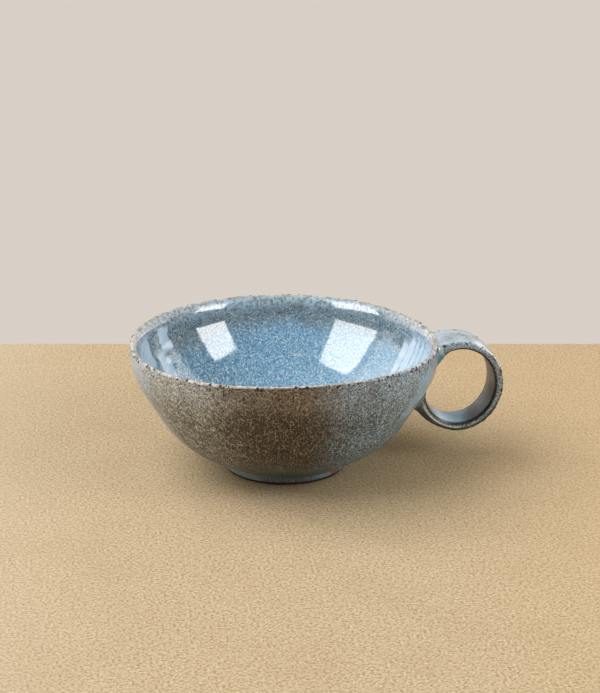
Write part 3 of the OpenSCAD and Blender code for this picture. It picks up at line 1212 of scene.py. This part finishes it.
def bezier(points: Sequence[np.ndarray], steps: int) -> np.ndarray:
    """Draws a Bezier curve.

    Args:
        points: Its control points, all of one shape.
        steps: Straight steps along it.

    Returns:
        The points of the curve, with the steps along the first axis.
    """
    layers = [np.asarray(p, float)[None] for p in points]
    share = np.linspace(0, 1, steps + 1).reshape(-1, *([1] * (layers[0].ndim - 1)))
    while len(layers) > 1:
        layers = [a * (1 - share) + b * share for a, b in zip(layers, layers[1:])]
    return layers[0]


def from_end(line: np.ndarray) -> np.ndarray:
    """Straight distance of each point of a line from its last point."""
    return np.linalg.norm(line - line[-1], axis=1)


def evenly(line: np.ndarray, count: int) -> np.ndarray:
    """Spaces points evenly along a line.

    Args:
        line: The line's points.
        count: How many points to give back.

    Returns:
        The evenly spaced points.
    """
    gone = np.concatenate([[0], np.cumsum(np.linalg.norm(np.diff(line, axis=0), axis=1))])
    wanted = np.linspace(0, gone[-1], count)
    return np.stack([np.interp(wanted, gone, line[:, k]) for k in range(line.shape[1])], axis=1)


def sunk(line: np.ndarray, depths: np.ndarray) -> np.ndarray:
    """Moves each point of a section line to the left of its way.

    Args:
        line: The line's points.
        depths: How far each point moves.

    Returns:
        The moved points, never past the axis.
    """
    way = unit(np.gradient(line, axis=0))
    moved = line + depths[:, None] * np.stack([-way[:, 1], way[:, 0]], axis=1)
    moved[:, 0] = np.maximum(moved[:, 0], 0.0)
    return moved


@dataclass(frozen=True)
class Wave:
    """One slow wave of the rim: so many times round, so large, with its crest at a heading."""

    order: int
    size: float
    phase: float

    def at(self, heading: np.ndarray) -> np.ndarray:
        """Height of the wave at each heading."""
        return self.size * np.cos(self.order * heading - math.radians(self.phase))


@dataclass(frozen=True)
class MugLines:
    """Section of the mug over its glaze, from the frame's boxes and the sizes of the real form."""

    rim_radius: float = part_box("outer_glaze")[1].y
    height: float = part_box("bowl")[1].z
    foot_height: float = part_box("foot_ring")[1].z
    foot_top_radius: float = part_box("foot_ring")[1].y
    foot_radius: float = 28.0 * MM
    foot_width: float = 6.0 * MM
    hip_radius: float = 51.8 * MM
    hip_height: float = 16.6 * MM
    hip_round: float = 45.0 * MM
    shoulder_drop: float = 12.3 * MM
    shoulder_round: float = 28.7 * MM
    floor_height: float = 9.7 * MM
    inside_radius: float = 52.2 * MM
    inside_height: float = 29.26 * MM
    inside_slope: float = 50.1
    inside_pull: float = 7.65 * MM
    throat_radius: float = 65.7 * MM
    throat_height: float = 55.2 * MM
    throat_slope: float = 86.6
    lip_pull: float = 2.76 * MM
    lip_ease: float = 0.98 * MM
    glaze: float = 0.5 * MM
    lip_outer: float = 1.1 * MM
    lip_outer_drop: float = 1.9 * MM
    round_steps: int = 24
    wall_steps: int = 40
    inner_lip_steps: int = 20
    outer_lip_steps: int = 16
    slope_step: float = 0.1 * MM
    radius_waves: tuple[Wave, ...] = (Wave(3, 0.65 * MM, -116.0), Wave(2, 0.15 * MM, -35.0))
    rise_waves: tuple[Wave, ...] = (
        Wave(2, 0.55 * MM, -131.0), Wave(3, 0.3 * MM, 115.0), Wave(1, 0.2 * MM, 163.0))

    @property
    def crest(self) -> np.ndarray:
        """Top of the lip."""
        return np.array([self.rim_radius - self.lip_outer, self.height])

    @property
    def corners(self) -> tuple[np.ndarray, ...]:
        """Corners of the outside, from the foot to the straight part under the lip."""
        return (
            np.array([self.foot_top_radius, self.foot_height]),
            np.array([self.hip_radius, self.hip_height]),
            np.array([self.rim_radius, self.height - self.shoulder_drop]),
            np.array([self.rim_radius, self.height - self.lip_outer_drop]),
        )

    def outside(self) -> np.ndarray:
        """Line of the outside, from the foot up to the crest of the lip."""
        corners = self.corners
        wall = rounded(corners, (self.hip_round, self.shoulder_round), self.round_steps)
        over = np.array([self.rim_radius, self.height])
        low, high = corners[3], self.crest
        lip = bezier((low, (low + 2 * over) / 3, (high + 2 * over) / 3, high), self.outer_lip_steps)
        return np.concatenate([wall[:-1], lip])

    def inside(self) -> np.ndarray:
        """Line of the inside, from the middle of the floor up to the crest of the lip."""
        low, high = math.radians(self.inside_slope), math.radians(self.throat_slope)
        join = np.array([self.inside_radius, self.inside_height])
        throat = np.array([self.throat_radius, self.throat_height])
        sweep = (self.inside_height - self.floor_height) / (1 - math.cos(low))
        turn = np.linspace(0, low, self.wall_steps)
        arc = join + sweep * np.stack([np.sin(turn) - math.sin(low), math.cos(low) - np.cos(turn)], axis=1)
        up, lean = (np.array([math.cos(a), math.sin(a)]) for a in (low, high))
        pulled = (join + self.inside_pull * up, throat - self.inside_pull * lean)
        wall = bezier((join, *pulled, throat), self.wall_steps)
        ends = (throat + self.lip_pull * lean, self.crest - np.array([self.lip_ease, 0.0]))
        lip = bezier((throat, *ends, self.crest), self.inner_lip_steps)
        middle = np.array([[0.0, self.floor_height]])
        return np.concatenate([middle, arc[:-1], wall[:-1], lip])

    def wall_radius(self, height: np.ndarray) -> np.ndarray:
        """Radius of the outside at each height."""
        line = self.outside()
        return np.interp(height, line[:, 1], line[:, 0])

    def wall_slope(self, height: np.ndarray) -> np.ndarray:
        """How much the outside's radius grows with the height."""
        return (self.wall_radius(height + self.slope_step) - self.wall_radius(height)) / self.slope_step

    def wall_gap(self, points: np.ndarray) -> np.ndarray:
        """Measures how far points lie from the outside of the wall.

        Args:
            points: Points in the frame.

        Returns:
            The distance square to the wall, negative within it.
        """
        level = np.hypot(points[..., 0], points[..., 1]) - self.wall_radius(points[..., 2])
        return level / np.sqrt(1 + self.wall_slope(points[..., 2]) ** 2)

    def wall_normal(self, points: np.ndarray) -> np.ndarray:
        """Direction square to the outside of the wall at each point."""
        slope = self.wall_slope(points[..., 2])
        return unit(np.concatenate([unit(points[..., :2]), -slope[..., None]], axis=-1))

    def on_wall(self, points: np.ndarray, off: float) -> np.ndarray:
        """Moves points level with the ground to a distance from the outside of the wall."""
        radius = self.wall_radius(points[..., 2]) + off
        return np.concatenate([unit(points[..., :2]) * radius[..., None], points[..., 2:]], axis=-1)

    def stray(self, points: np.ndarray) -> np.ndarray:
        """Moves points as the hand-made rim strays from a true circle, more the higher they are.

        Args:
            points: Points of any piece, in the frame.

        Returns:
            The moved points.
        """
        heading = np.arctan2(points[:, 1], points[:, 0])
        radius = np.hypot(points[:, 0], points[:, 1])
        share = np.clip(points[:, 2] / self.height, 0, 1) ** 2
        out = radius + share * sum(wave.at(heading) for wave in self.radius_waves)
        up = points[:, 2] + share * sum(wave.at(heading) for wave in self.rise_waves)
        out = np.where(radius > MERGE_GAP, out, radius)
        return np.stack([out * np.cos(heading), out * np.sin(heading), up], axis=1)


@dataclass
class Workshop:
    """What every sub-assembly shares: the mug's lines, the two node trees and the list of pieces."""

    lines: MugLines = field(default_factory=MugLines)
    wheel: PottersWheel = field(default_factory=PottersWheel)
    shaker: SpotShaker = field(default_factory=SpotShaker)
    made: list[bpy.types.Object] = field(default_factory=list)

    def place(self, name: str, mesh: bpy.types.Mesh, slot: Slot, *nodes: str,
              strays: bool = True) -> None:
        """Turns a finished mesh into a piece that rides on the mug.

        Args:
            name: Name of the piece.
            mesh: Its mesh, in the frame.
            slot: Not used.
            *nodes: CAD nodes that it stands for.
            strays: Whether it follows the waves of the rim.
        """
        if strays:
            flat = np.empty(len(mesh.vertices) * 3, np.float32)
            mesh.vertices.foreach_get("co", flat)
            moved = self.lines.stray(flat.reshape(-1, 3).astype(float))
            mesh.vertices.foreach_set("co", moved.astype(np.float32).ravel())
        tidy = bmesh.new()
        tidy.from_mesh(mesh)
        bmesh.ops.remove_doubles(tidy, verts=tidy.verts, dist=MERGE_GAP)
        bmesh.ops.recalc_face_normals(tidy, faces=tidy.faces)
        tidy.to_mesh(mesh)
        tidy.free()
        mesh.name = name
        piece = bpy.data.objects.new(name, mesh)
        bpy.context.scene.collection.objects.link(piece)
        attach(piece, BODY)
        if nodes:
            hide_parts(*nodes)
        self.made.append(piece)
        LOG.info("%s: %d faces", name, len(mesh.polygons))


def grid_faces(rows: int, columns: int, round_rows: bool, round_columns: bool) -> list[tuple[int, ...]]:
    """Lists the faces between rows of points.

    Args:
        rows: Number of rows.
        columns: Number of points in a row.
        round_rows: Whether the last row meets the first.
        round_columns: Whether each row closes on itself.

    Returns:
        Four point numbers for each face.
    """
    faces = []
    for i in range(rows if round_rows else rows - 1):
        for j in range(columns if round_columns else columns - 1):
            on, over = (i + 1) % rows, (j + 1) % columns
            faces.append((i * columns + j, i * columns + over, on * columns + over, on * columns + j))
    return faces


def grid_mesh(name: str, grid: np.ndarray, finish: bpy.types.Material, caps: bool,
              **numbers: np.ndarray) -> bpy.types.Mesh:
    """Joins rows of points into a smooth tube.

    Args:
        name: Name of the mesh.
        grid: Points as rows by columns by 3; each row closes on itself.
        finish: Material of all its faces.
        caps: Whether the two ends are closed; otherwise the last row meets the first.
        **numbers: Values to keep at the points, as rows by columns.

    Returns:
        The mesh.
    """
    rows, columns = grid.shape[:2]
    faces = grid_faces(rows, columns, not caps, True)
    if caps:
        faces.append(tuple(range(columns))[::-1])
        faces.append(tuple((rows - 1) * columns + j for j in range(columns)))
    mesh = bpy.data.meshes.new(name)
    mesh.from_pydata(grid.reshape(-1, 3).tolist(), [], faces)
    for label, values in numbers.items():
        kept = mesh.attributes.new(label, "FLOAT", "POINT")
        kept.data.foreach_set("value", values.astype(np.float32).ravel())
    mesh.materials.append(finish)
    mesh.shade_smooth()
    return mesh


@dataclass
class ThrownBody:
    """The bowl as it came off the wheel, with its turned foot."""

    shop: Workshop
    segments: int = 288
    inside_points: int = 90
    outside_points: int = 70
    foot_points: int = 60
    base_steps: int = 30
    edge_steps: int = 8
    lip_bare: float = 1.4 * MM
    foot_edge: float = 0.8 * MM
    base_dome: float = 0.7 * MM
    bowl_marks: ThrowingMarks = ThrowingMarks(drift_depth=0.05 * MM)
    foot_marks: ThrowingMarks = ThrowingMarks(drift_depth=0.12 * MM)

    def build(self) -> None:
        """Turns the bowl's clay and its foot."""
        lines, turn = self.shop.lines, self.shop.wheel.turn
        inside = self.clay_line(evenly(lines.inside(), self.inside_points), 1.0)
        outside = self.clay_line(evenly(lines.outside(), self.outside_points), -1.0)
        base = bezier((outside[0], np.array([lines.foot_radius / 2, lines.foot_height]),
                       np.array([0.0, lines.foot_height + self.base_dome])), self.base_steps)
        section = np.concatenate([inside, outside[-2::-1], base[1:]])
        bowl = turn(section, False, self.segments, self.bowl_marks, Stoneware().material())
        self.shop.place("thrown_bowl", bowl, Slot.STONEWARE, "bowl")
        foot = turn(self.foot_line(), True, self.segments, self.foot_marks, FootDress().material())
        self.shop.place("turned_foot", foot, Slot.FOOT_CLAY, "foot_ring")

    def clay_line(self, line: np.ndarray, side: float) -> np.ndarray:
        """Sinks a finished line to the clay under its glaze, which is bare along the lip.

        Args:
            line: Line over the glaze, ending at the crest.
            side: 1 where the clay is to the right of the line's way, -1 where it is to the left.

        Returns:
            The clay's line.
        """
        cover = ease((from_end(line) - self.lip_bare) / (2 * self.lip_bare))
        return sunk(line, -side * self.shop.lines.glaze * cover)

    def foot_line(self) -> np.ndarray:
        """Section of the foot, with rounded edges where it stands."""
        lines = self.shop.lines
        top = lines.foot_height + lines.glaze
        corners = [np.array(p) for p in (
            (lines.foot_top_radius, top), (lines.foot_radius, 0.0),
            (lines.foot_radius - lines.foot_width, 0.0), (lines.foot_top_radius - lines.foot_width, top))]
        return evenly(rounded(corners, (self.foot_edge, self.foot_edge), self.edge_steps), self.foot_points)


@dataclass
class GlazeCoats:
    """The two coats of glaze on the bowl: glossy blue inside, satin speckle outside."""

    shop: Workshop
    segments: int = 360
    rows: int = 120
    back_rows: int = 24
    hollow_steps: int = 12
    sink: float = 0.15 * MM
    liner_end: float = 0.35 * MM
    outer_end: float = 0.8 * MM
    feather: float = 3.0 * MM
    feather_end: float = 0.02
    foot_hollow: float = 3.0 * MM
    foot_cover: float = 0.25 * MM
    bare_foot: float = 1.5 * MM
    liner_marks: ThrowingMarks = ThrowingMarks(
        ring_depth=0.07 * MM, ring_low=22.0 * MM, ring_high=42.0 * MM, drift_depth=0.03 * MM)
    outer_marks: ThrowingMarks = ThrowingMarks(
        ring_depth=0.02 * MM, ring_pitch=5.0 * MM, ring_low=8.0 * MM, ring_high=30.0 * MM, quiet_share=0.0,
        drift_depth=0.14 * MM, drift_scale=40.0, seed=7.0)

    def build(self) -> None:
        """Turns both coats."""
        turn = self.shop.wheel.turn
        liner = self.coat(self.shop.lines.inside(), self.liner_end, -1.0)
        mesh = turn(liner, False, self.segments, self.liner_marks, BlueLiner().material())
        self.shop.place("liner_coat", mesh, Slot.LINER, "liner_glaze")
        outer = self.coat(self.outer_face(), self.outer_end, 1.0)
        mesh = turn(outer, True, self.segments, self.outer_marks, SatinSpeckle().material())
        self.shop.place("outer_coat", mesh, Slot.OUTER, "outer_glaze")

    def outer_face(self) -> np.ndarray:
        """Face of the outer coat, which runs down over the foot to a line just above the table."""
        lines = self.shop.lines
        wall = lines.outside()
        slope = (lines.foot_top_radius - lines.foot_radius) / lines.foot_height
        low = np.array([lines.foot_radius + slope * self.bare_foot + self.foot_cover, self.bare_foot])
        turn = np.array([lines.foot_top_radius + self.foot_cover, lines.foot_height])
        foot = rounded((low, turn, wall[1]), (self.foot_hollow,), self.hollow_steps)
        return np.concatenate([foot[:-1], wall[1:]])

    def coat(self, line: np.ndarray, end: float, side: float) -> np.ndarray:
        """Draws the section of a coat that feathers out before the crest of the lip.

        Args:
            line: Line over the glaze, ending at the crest.
            end: Distance from the crest at which the coat ends.
            side: 1 where the clay is to the left of the line's way, -1 where it is to the right.

        Returns:
            The section, along its face and back along its hidden side.
        """
        face = evenly(line[from_end(line) > end], self.rows)
        share = np.clip(from_end(face) / self.feather, self.feather_end, 1)
        back = sunk(face, side * (self.shop.lines.glaze + self.sink) * share)
        return np.concatenate([face, evenly(back[::-1], self.back_rows)])


class Spread(NamedTuple):
    """How far slip spreads on the strap's sides, and how much more on its inner and its outer face."""

    sides: float
    hollow: float
    outward: float


@dataclass
class StrapHandle:
    """The pulled strap, bent into a ring, its glaze and the two joints on the wall."""

    shop: Workshop
    middle_x: float = 80.6 * MM
    middle_z: float = 36.7 * MM
    reach_x: float = 18.6 * MM
    reach_z: float = 20.2 * MM
    top_width: float = 22.8 * MM
    bottom_width: float = 16.0 * MM
    thickness: float = 4.1 * MM
    edge_thickness: float = 3.3 * MM
    edge_round: float = 1.6 * MM
    edge_swell: float = 0.22
    swell_turn: float = 0.6
    edge_start: float = 0.5
    corner_width: float = 0.6 * MM
    rows: int = 180
    face_steps: int = 16
    round_steps: int = 6
    side_steps: int = 2
    root_sink: float = 1.8 * MM
    joint_steps: int = 12
    joint_dip: float = 0.2 * MM
    upper_thickening: float = 1.6 * MM
    upper_from: float = 1.85
    upper_over: float = 0.5
    upper_rise: float = 1.5 * MM
    rise_from: float = 1.55
    rise_over: float = 0.65
    lower_thickening: float = 3.2 * MM
    lower_widening: float = 2.0 * MM
    lower_from: float = 1.8
    lower_over: float = 1.05
    width_waves: tuple[tuple[float, float, float], ...] = ((0.12 * MM, 3.1, 0.4), (0.08 * MM, 7.3, 0.0))
    face_wave: float = 0.1 * MM
    face_wave_pace: float = 2.3
    face_wave_twist: float = 1.5
    search_start: float = 0.5 * math.pi
    search_end: float = 1.2 * math.pi
    search_steps: int = 500
    upper_spread: Spread = Spread(2.8 * MM, 0.4 * MM, -0.9 * MM)
    upper_climb: Spread = Spread(4.6 * MM, 0.0, 0.4 * MM)
    lower_spread: Spread = Spread(3.2 * MM, -1.4 * MM, 1.8 * MM)
    lower_climb: Spread = Spread(3.8 * MM, 0.0, 2.8 * MM)

    def __post_init__(self) -> None:
        """Settles the section that the strap keeps along its whole length."""
        half, width, curve = self.edge_thickness / 2, self.top_width / 2, self.edge_round
        inner = width - curve
        faces = np.linspace(-inner, inner, self.face_steps + 1)
        arcs = np.linspace(0, math.pi / 2, self.round_steps + 2)[1:-1]
        sides = np.linspace(half - curve, curve - half, self.side_steps + 1)
        crown = (self.thickness - self.edge_thickness) / 2
        y = np.concatenate([
            faces, inner + curve * np.sin(arcs), np.full(len(sides), width), inner + curve * np.cos(arcs)])
        h = np.concatenate([
            half + crown * (1 - (faces / inner) ** 2), half - curve * (1 - np.cos(arcs)), sides,
            curve * (1 - np.sin(arcs)) - half])
        y, h = np.concatenate([y, -y]), np.concatenate([h, -h])
        self.across, self.through = y / width, h
        beyond = np.abs(y) - inner
        sideways = np.sign(y) * np.clip(beyond, 0, None)
        upward = np.sign(h) * np.clip(np.abs(h) - half + curve, TINY, None)
        self.lean = unit(np.stack([sideways, upward], axis=-1))
        self.outward, self.hollow = np.clip(h / half, 0, 1), np.clip(-h / half, 0, 1)
        self.edge = np.clip(beyond / curve + self.edge_start, 0, 1)
        near = np.exp(-(beyond / self.corner_width) ** 2)
        self.corner = np.where(beyond < 0, near, np.abs(self.lean[:, 1]))

    def point(self, angle: np.ndarray, grow: float | np.ndarray = 0.0) -> np.ndarray:
        """Places points of the strap.

        Args:
            angle: Angle round the ring for each point of the section, 0 away from the bowl.
            grow: How far the points stand off the strap's surface.

        Returns:
            The points in the frame.
        """
        level = 0 * angle
        cos, sin = np.cos(angle), np.sin(angle)
        centre = np.stack([
            self.middle_x + self.reach_x * cos, level, self.middle_z + self.reach_z * sin], axis=-1)
        out = unit(np.stack([cos * self.reach_z, level, sin * self.reach_x], axis=-1))
        upper = ease((angle - self.upper_from) / self.upper_over)
        crest = ease((angle - self.rise_from) / self.rise_over)
        lower = np.clip((-angle - self.lower_from) / self.lower_over, 0, 1) ** 2
        swell = 1 + self.edge_swell * (1 + np.cos(angle + self.swell_turn)) / 2
        half = (self.bottom_width + (self.top_width - self.bottom_width) * (sin + 1) / 2) / 2
        half = half + self.lower_widening * lower
        for size, pace, start in self.width_waves:
            half = half + size * np.sin(pace * angle + start)
        y = self.across * half + grow * self.lean[:, 0]
        wave = self.face_wave * np.sin(self.face_wave_pace * angle + self.across * self.face_wave_twist)
        h = self.through * swell + grow * self.lean[:, 1] + wave
        h = h + (self.lower_thickening * lower + self.upper_rise * crest) * self.outward
        h = h - self.upper_thickening * upper * self.hollow
        return centre + h[..., None] * out + np.stack([level, y, level], axis=-1)

    def meet(self, root: Root, off: float | np.ndarray) -> np.ndarray:
        """Finds where the lines along the strap come to a distance from the wall.

        Args:
            root: Which end of the strap.
            off: Distance from the wall, for each point of the section.

        Returns:
            The angle round the ring for each point of the section.
        """
        sign = 1 if root is Root.UPPER else -1
        angles = np.linspace(sign * self.search_start, sign * self.search_end, self.search_steps)
        columns = np.arange(len(self.across))
        rings = [self.point(np.full(len(columns), angle)) for angle in angles]
        gaps = np.array([self.shop.lines.wall_gap(ring) - off for ring in rings])
        within = gaps <= 0
        hit = np.where(within.any(axis=0), np.argmax(within, axis=0), np.argmin(gaps, axis=0))
        hit = np.maximum(hit, 1)
        before, after = gaps[hit - 1, columns], gaps[hit, columns]
        share = np.clip(before / np.where(before == after, 1, before - after), 0, 1)
        return angles[hit - 1] + share * (angles[hit] - angles[hit - 1])

    def build(self) -> None:
        """Lofts the strap's clay and glaze, and fills its joints."""
        clay = self.loft(-self.shop.lines.glaze, self.root_sink)
        core = grid_mesh("strap_core", clay, Stoneware().material(), True)
        self.shop.place("strap_core", core, Slot.STONEWARE, "handle", strays=False)
        skin = self.loft(0.0, self.root_sink / 2)
        numbers = {label: np.tile(getattr(self, label), (len(skin), 1)) for label in STRAP_LABELS}
        coat = grid_mesh("strap_coat", skin, StrapGlaze().material(), True, **numbers)
        self.shop.place("strap_coat", coat, Slot.HANDLE, "handle_glaze", strays=False)
        slip = JointSlip().material()
        for root in Root:
            name = f"{root.value}_joint_fillet"
            mesh = grid_mesh(name, self.fillet(root), slip, False)
            self.shop.place(name, mesh, Slot.JOINT_SLIP, f"{root.value}_handle_joint", strays=False)

    def loft(self, grow: float, sink: float) -> np.ndarray:
        """Sweeps the section from one root to the other.

        Args:
            grow: How far the surface stands off the glazed strap.
            sink: How deep both ends reach into the wall.

        Returns:
            Rows of points along the strap.
        """
        top, low = self.meet(Root.UPPER, -sink), self.meet(Root.LOWER, -sink)
        return np.array([self.point(top + (low - top) * t, grow) for t in np.linspace(0, 1, self.rows)])

    def spread(self, slip: Spread) -> np.ndarray:
        """How far slip spreads at each point of the section."""
        return slip.sides + slip.hollow * self.hollow + slip.outward * self.outward

    def fillet(self, root: Root) -> np.ndarray:
        """Draws the hollow fillet of slip round one root.

        Args:
            root: Which joint.

        Returns:
            Rows of points: along the fillet's face, then back through the clay.
        """
        lines, dip = self.shop.lines, self.joint_dip
        upper = root is Root.UPPER
        spread = self.spread(self.upper_spread if upper else self.lower_spread)
        climb = self.spread(self.upper_climb if upper else self.lower_climb)
        high = self.point(self.meet(root, climb), -dip / 2)
        ends = self.meet(root, 0.0)
        corner = self.point(ends)
        side = unit(self.point(ends, 1.0) - corner)
        wall = lines.wall_normal(corner)
        along = unit(side - (side * wall).sum(axis=-1, keepdims=True) * wall)
        wide = lines.on_wall(corner + spread[:, None] * along, -dip)
        deep = self.point(self.meet(root, -self.root_sink), -lines.glaze)
        return np.concatenate([bezier((high, corner, wide), self.joint_steps), deep[None]])


@dataclass
class IronSpots:
    """Iron spots that bled through the glaze along the lip and the strap's edges."""

    shop: Workshop
    strap: StrapHandle
    lip: Scatter = Scatter(3.5e5, 0.24 * MM, 0.74 * MM, 1.0, 11)
    lip_band: tuple[float, float] = (0.6 * MM, 1.8 * MM)
    runs: Scatter = Scatter(8.5e4, 0.12 * MM, 0.48 * MM, 2.2, 5)
    runs_band: tuple[float, float] = (1.8 * MM, 5.5 * MM)
    edges: Scatter = Scatter(3.2e5, 0.14 * MM, 0.7 * MM, 1.0, 23)
    line_points: int = 1500
    band_rows: int = 6
    band_steps: int = 240
    wall_gap: float = 2.0 * MM
    least_edge: float = 0.4
    least_outward: float = 0.2
    least_corner: float = 0.45

    def build(self) -> None:
        """Scatters the spots."""
        iron = IronSpot().material()
        shake = self.shop.shaker.run
        lip = shake(self.lip_strip(*self.lip_band), **asdict(self.lip), material=iron)
        self.shop.place("lip_iron_spots", lip, Slot.OUTER)
        runs = shake(self.lip_strip(*self.runs_band), **asdict(self.runs), material=iron)
        self.shop.place("lip_iron_runs", runs, Slot.OUTER)
        edges = shake(self.strap_strip(), **asdict(self.edges), material=iron)
        self.shop.place("strap_iron_spots", edges, Slot.HANDLE, strays=False)

    def lip_strip(self, start: float, end: float) -> bpy.types.Mesh:
        """Cuts the band just under the crest of the lip out of the bowl's outside.

        Args:
            start: Distance from the crest where the band begins.
            end: Distance from the crest where it ends.

        Returns:
            The band's faces.
        """
        line = evenly(self.shop.lines.outside(), self.line_points)
        away = from_end(line)
        band = evenly(line[(away >= start) & (away <= end)], self.band_rows)
        turn = np.linspace(0, FULL_TURN, self.band_steps, endpoint=False)
        grid = np.array([[(r * math.cos(a), r * math.sin(a), z) for a in turn] for r, z in band])
        return self.strip(grid, True)

    def strap_strip(self) -> bpy.types.Mesh:
        """Cuts the two outer corners out of the strap's surface."""
        strap = self.strap
        skin = strap.loft(0.0, -self.wall_gap)
        outer = (strap.edge > self.least_edge) & (strap.outward > self.least_outward)
        columns = np.flatnonzero(outer & (strap.corner > self.least_corner))
        cuts = np.flatnonzero(np.diff(columns) > 1) + 1
        whole = bmesh.new()
        for group in np.split(columns, cuts):
            part = self.strip(skin[:, group].transpose(1, 0, 2), False)
            whole.from_mesh(part)
            bpy.data.meshes.remove(part)
        joined = bpy.data.meshes.new("strap_edges")
        whole.to_mesh(joined)
        whole.free()
        return joined

    @staticmethod
    def strip(grid: np.ndarray, loop: bool) -> bpy.types.Mesh:
        """Joins rows of points into an open band.

        Args:
            grid: Points as rows by columns by 3.
            loop: Whether each row closes on itself.

        Returns:
            The band's mesh.
        """
        mesh = bpy.data.meshes.new("band")
        mesh.from_pydata(grid.reshape(-1, 3).tolist(), [], grid_faces(*grid.shape[:2], False, loop))
        return mesh


class LampWork(Enum):
    """What a lamp does: it lights the mug softly, or it only shows in the gloss of the glaze."""

    LIGHT = "light"
    GLINT = "glint"


@dataclass(frozen=True)
class SoftBox:
    """One studio lamp: where its middle stands, how it is turned and tipped, its size and its work."""

    name: str
    work: LampWork
    heading: float
    away: float
    middle: float
    turn: float
    tip: float
    width: float
    height: float
    power: float


@dataclass
class Studio:
    """Floor, lamps, surroundings and the camera at the photograph's place."""

    lamps: tuple[SoftBox, ...] = (
        SoftBox("window", LampWork.LIGHT, 178.0, 1.14, 1.68, 0.0, 55.0, 2.3, 1.8, 36.3),
        SoftBox("right_fill", LampWork.LIGHT, -30.0, 1.2, 0.70, 0.0, 30.0, 0.6, 0.6, 4.2),
        SoftBox("right_softbox", LampWork.GLINT, -26.0, 0.8, 0.492, -16.9, 0.0, 0.413, 0.491, 6.4),
        SoftBox("left_softbox", LampWork.GLINT, -166.5, 0.8, 0.659, 15.1, 0.0, 0.631, 0.797, 13.4),
        SoftBox("back_left_panel", LampWork.GLINT, 138.0, 0.9, 0.50, 0.0, 0.0, 1.04, 0.84, 3.8),
        SoftBox("back_right_panel", LampWork.GLINT, 38.0, 0.9, 0.42, 0.0, 0.0, 0.75, 0.68, 3.1),
    )
    floor_reach: float = 6.0
    floor_drop: float = 0.1 * MM
    surround: Colour = screen(216, 208, 199)
    ambient: Colour = (1.0, 0.95, 0.855, 1.0)
    ambient_strength: float = 0.39
    front_dim: Ramp = Ramp(-0.3, 0.5, 0.3, 1.0)
    camera_place: tuple[float, float, float] = (-85.36 * MM, -712.35 * MM, 292.49 * MM)
    level_tilt: float = 90.0
    camera_pitch: float = 18.186
    camera_turn: float = 7.4
    focal: float = 1650.3
    image_width: int = 600
    sensor: float = 36.0
    clip_start: float = 0.01
    clip_end: float = 50.0

    def build(self) -> None:
        """Sets up the whole studio."""
        self.build_floor()
        for lamp in self.lamps:
            self.build_lamp(lamp)
        self.build_surround()
        self.build_camera()
        bpy.context.scene.view_settings.view_transform = "Standard"

    def build_floor(self) -> None:
        """Lays the floor."""
        mesh = bpy.data.meshes.new("floor")
        reach, low = self.floor_reach, -self.floor_drop
        around = ((-reach, -reach, low), (reach, -reach, low), (reach, reach, low), (-reach, reach, low))
        mesh.from_pydata(around, [], [(0, 1, 2, 3)])
        mesh.materials.append(FloorPaper().material())
        floor = bpy.data.objects.new("floor", mesh)
        bpy.context.scene.collection.objects.link(floor)

    def build_lamp(self, lamp: SoftBox) -> None:
        """Stands one lamp on its place."""
        heading, facing = math.radians(lamp.heading), math.radians(lamp.heading + lamp.turn)
        data = bpy.data.lights.new(lamp.name, "AREA")
        data.shape = "RECTANGLE"
        data.size, data.size_y = lamp.width, lamp.height
        data.energy = lamp.power
        light = bpy.data.objects.new(lamp.name, data)
        light.location = (lamp.away * math.cos(heading), lamp.away * math.sin(heading), lamp.middle)
        level, tip = math.cos(math.radians(lamp.tip)), math.sin(math.radians(lamp.tip))
        way = Vector((-level * math.cos(facing), -level * math.sin(facing), -tip))
        light.rotation_euler = way.to_track_quat("-Z", "Y").to_euler()
        light.visible_diffuse = lamp.work is LampWork.LIGHT
        light.visible_glossy = lamp.work is LampWork.GLINT
        light.visible_camera = False
        bpy.context.scene.collection.objects.link(light)

    def build_surround(self) -> None:
        """Shows a pale surround to the eye and to reflections, and an even ambient light to the rest."""
        world = bpy.data.worlds.new("studio")
        world.use_nodes = True
        bpy.context.scene.world = world
        sheet = NodeSheet(world.node_tree)
        sheet.tree.nodes.clear()
        path = sheet.node("ShaderNodeLightPath").outputs
        eye = sheet.most(path["Is Camera Ray"], path["Is Transmission Ray"])
        seen = sheet.most(eye, path["Is Glossy Ray"])
        way = sheet.node("ShaderNodeTexCoord").outputs["Generated"]
        depth = sheet.node("ShaderNodeSeparateXYZ", {0: way}).outputs[1]
        strength = sheet.most(eye, sheet.span(depth, self.front_dim))
        dome = sheet.node("ShaderNodeBackground", {
            "Color": self.ambient, "Strength": self.ambient_strength})
        back = sheet.node("ShaderNodeBackground", {"Color": self.surround, "Strength": strength})
        choose = sheet.node("ShaderNodeMixShader", {0: seen, 1: dome.outputs[0], 2: back.outputs[0]})
        sheet.node("ShaderNodeOutputWorld", {"Surface": choose.outputs[0]})

    def build_camera(self) -> None:
        """Puts the camera where the photograph was taken from."""
        data = bpy.data.cameras.new("camera")
        data.sensor_fit = "HORIZONTAL"
        data.sensor_width = self.sensor
        data.lens = self.focal * self.sensor / self.image_width
        data.clip_start, data.clip_end = self.clip_start, self.clip_end
        camera = bpy.data.objects.new("camera", data)
        camera.location = self.camera_place
        tilt = math.radians(self.level_tilt - self.camera_pitch)
        camera.rotation_euler = Euler((tilt, 0.0, -math.radians(self.camera_turn)))
        bpy.context.scene.collection.objects.link(camera)
        bpy.context.scene.camera = camera


def main() -> None:
    """Builds the mug and its studio, and logs how many pieces it made."""
    logging.basicConfig(level=logging.INFO, format="%(name)s %(message)s")
    shop = Workshop()
    ThrownBody(shop).build()
    GlazeCoats(shop).build()
    strap = StrapHandle(shop)
    strap.build()
    IronSpots(shop, strap).build()
    Studio().build()
    LOG.info("%d pieces", len(shop.made))


if __name__ == "__main__":
    main()
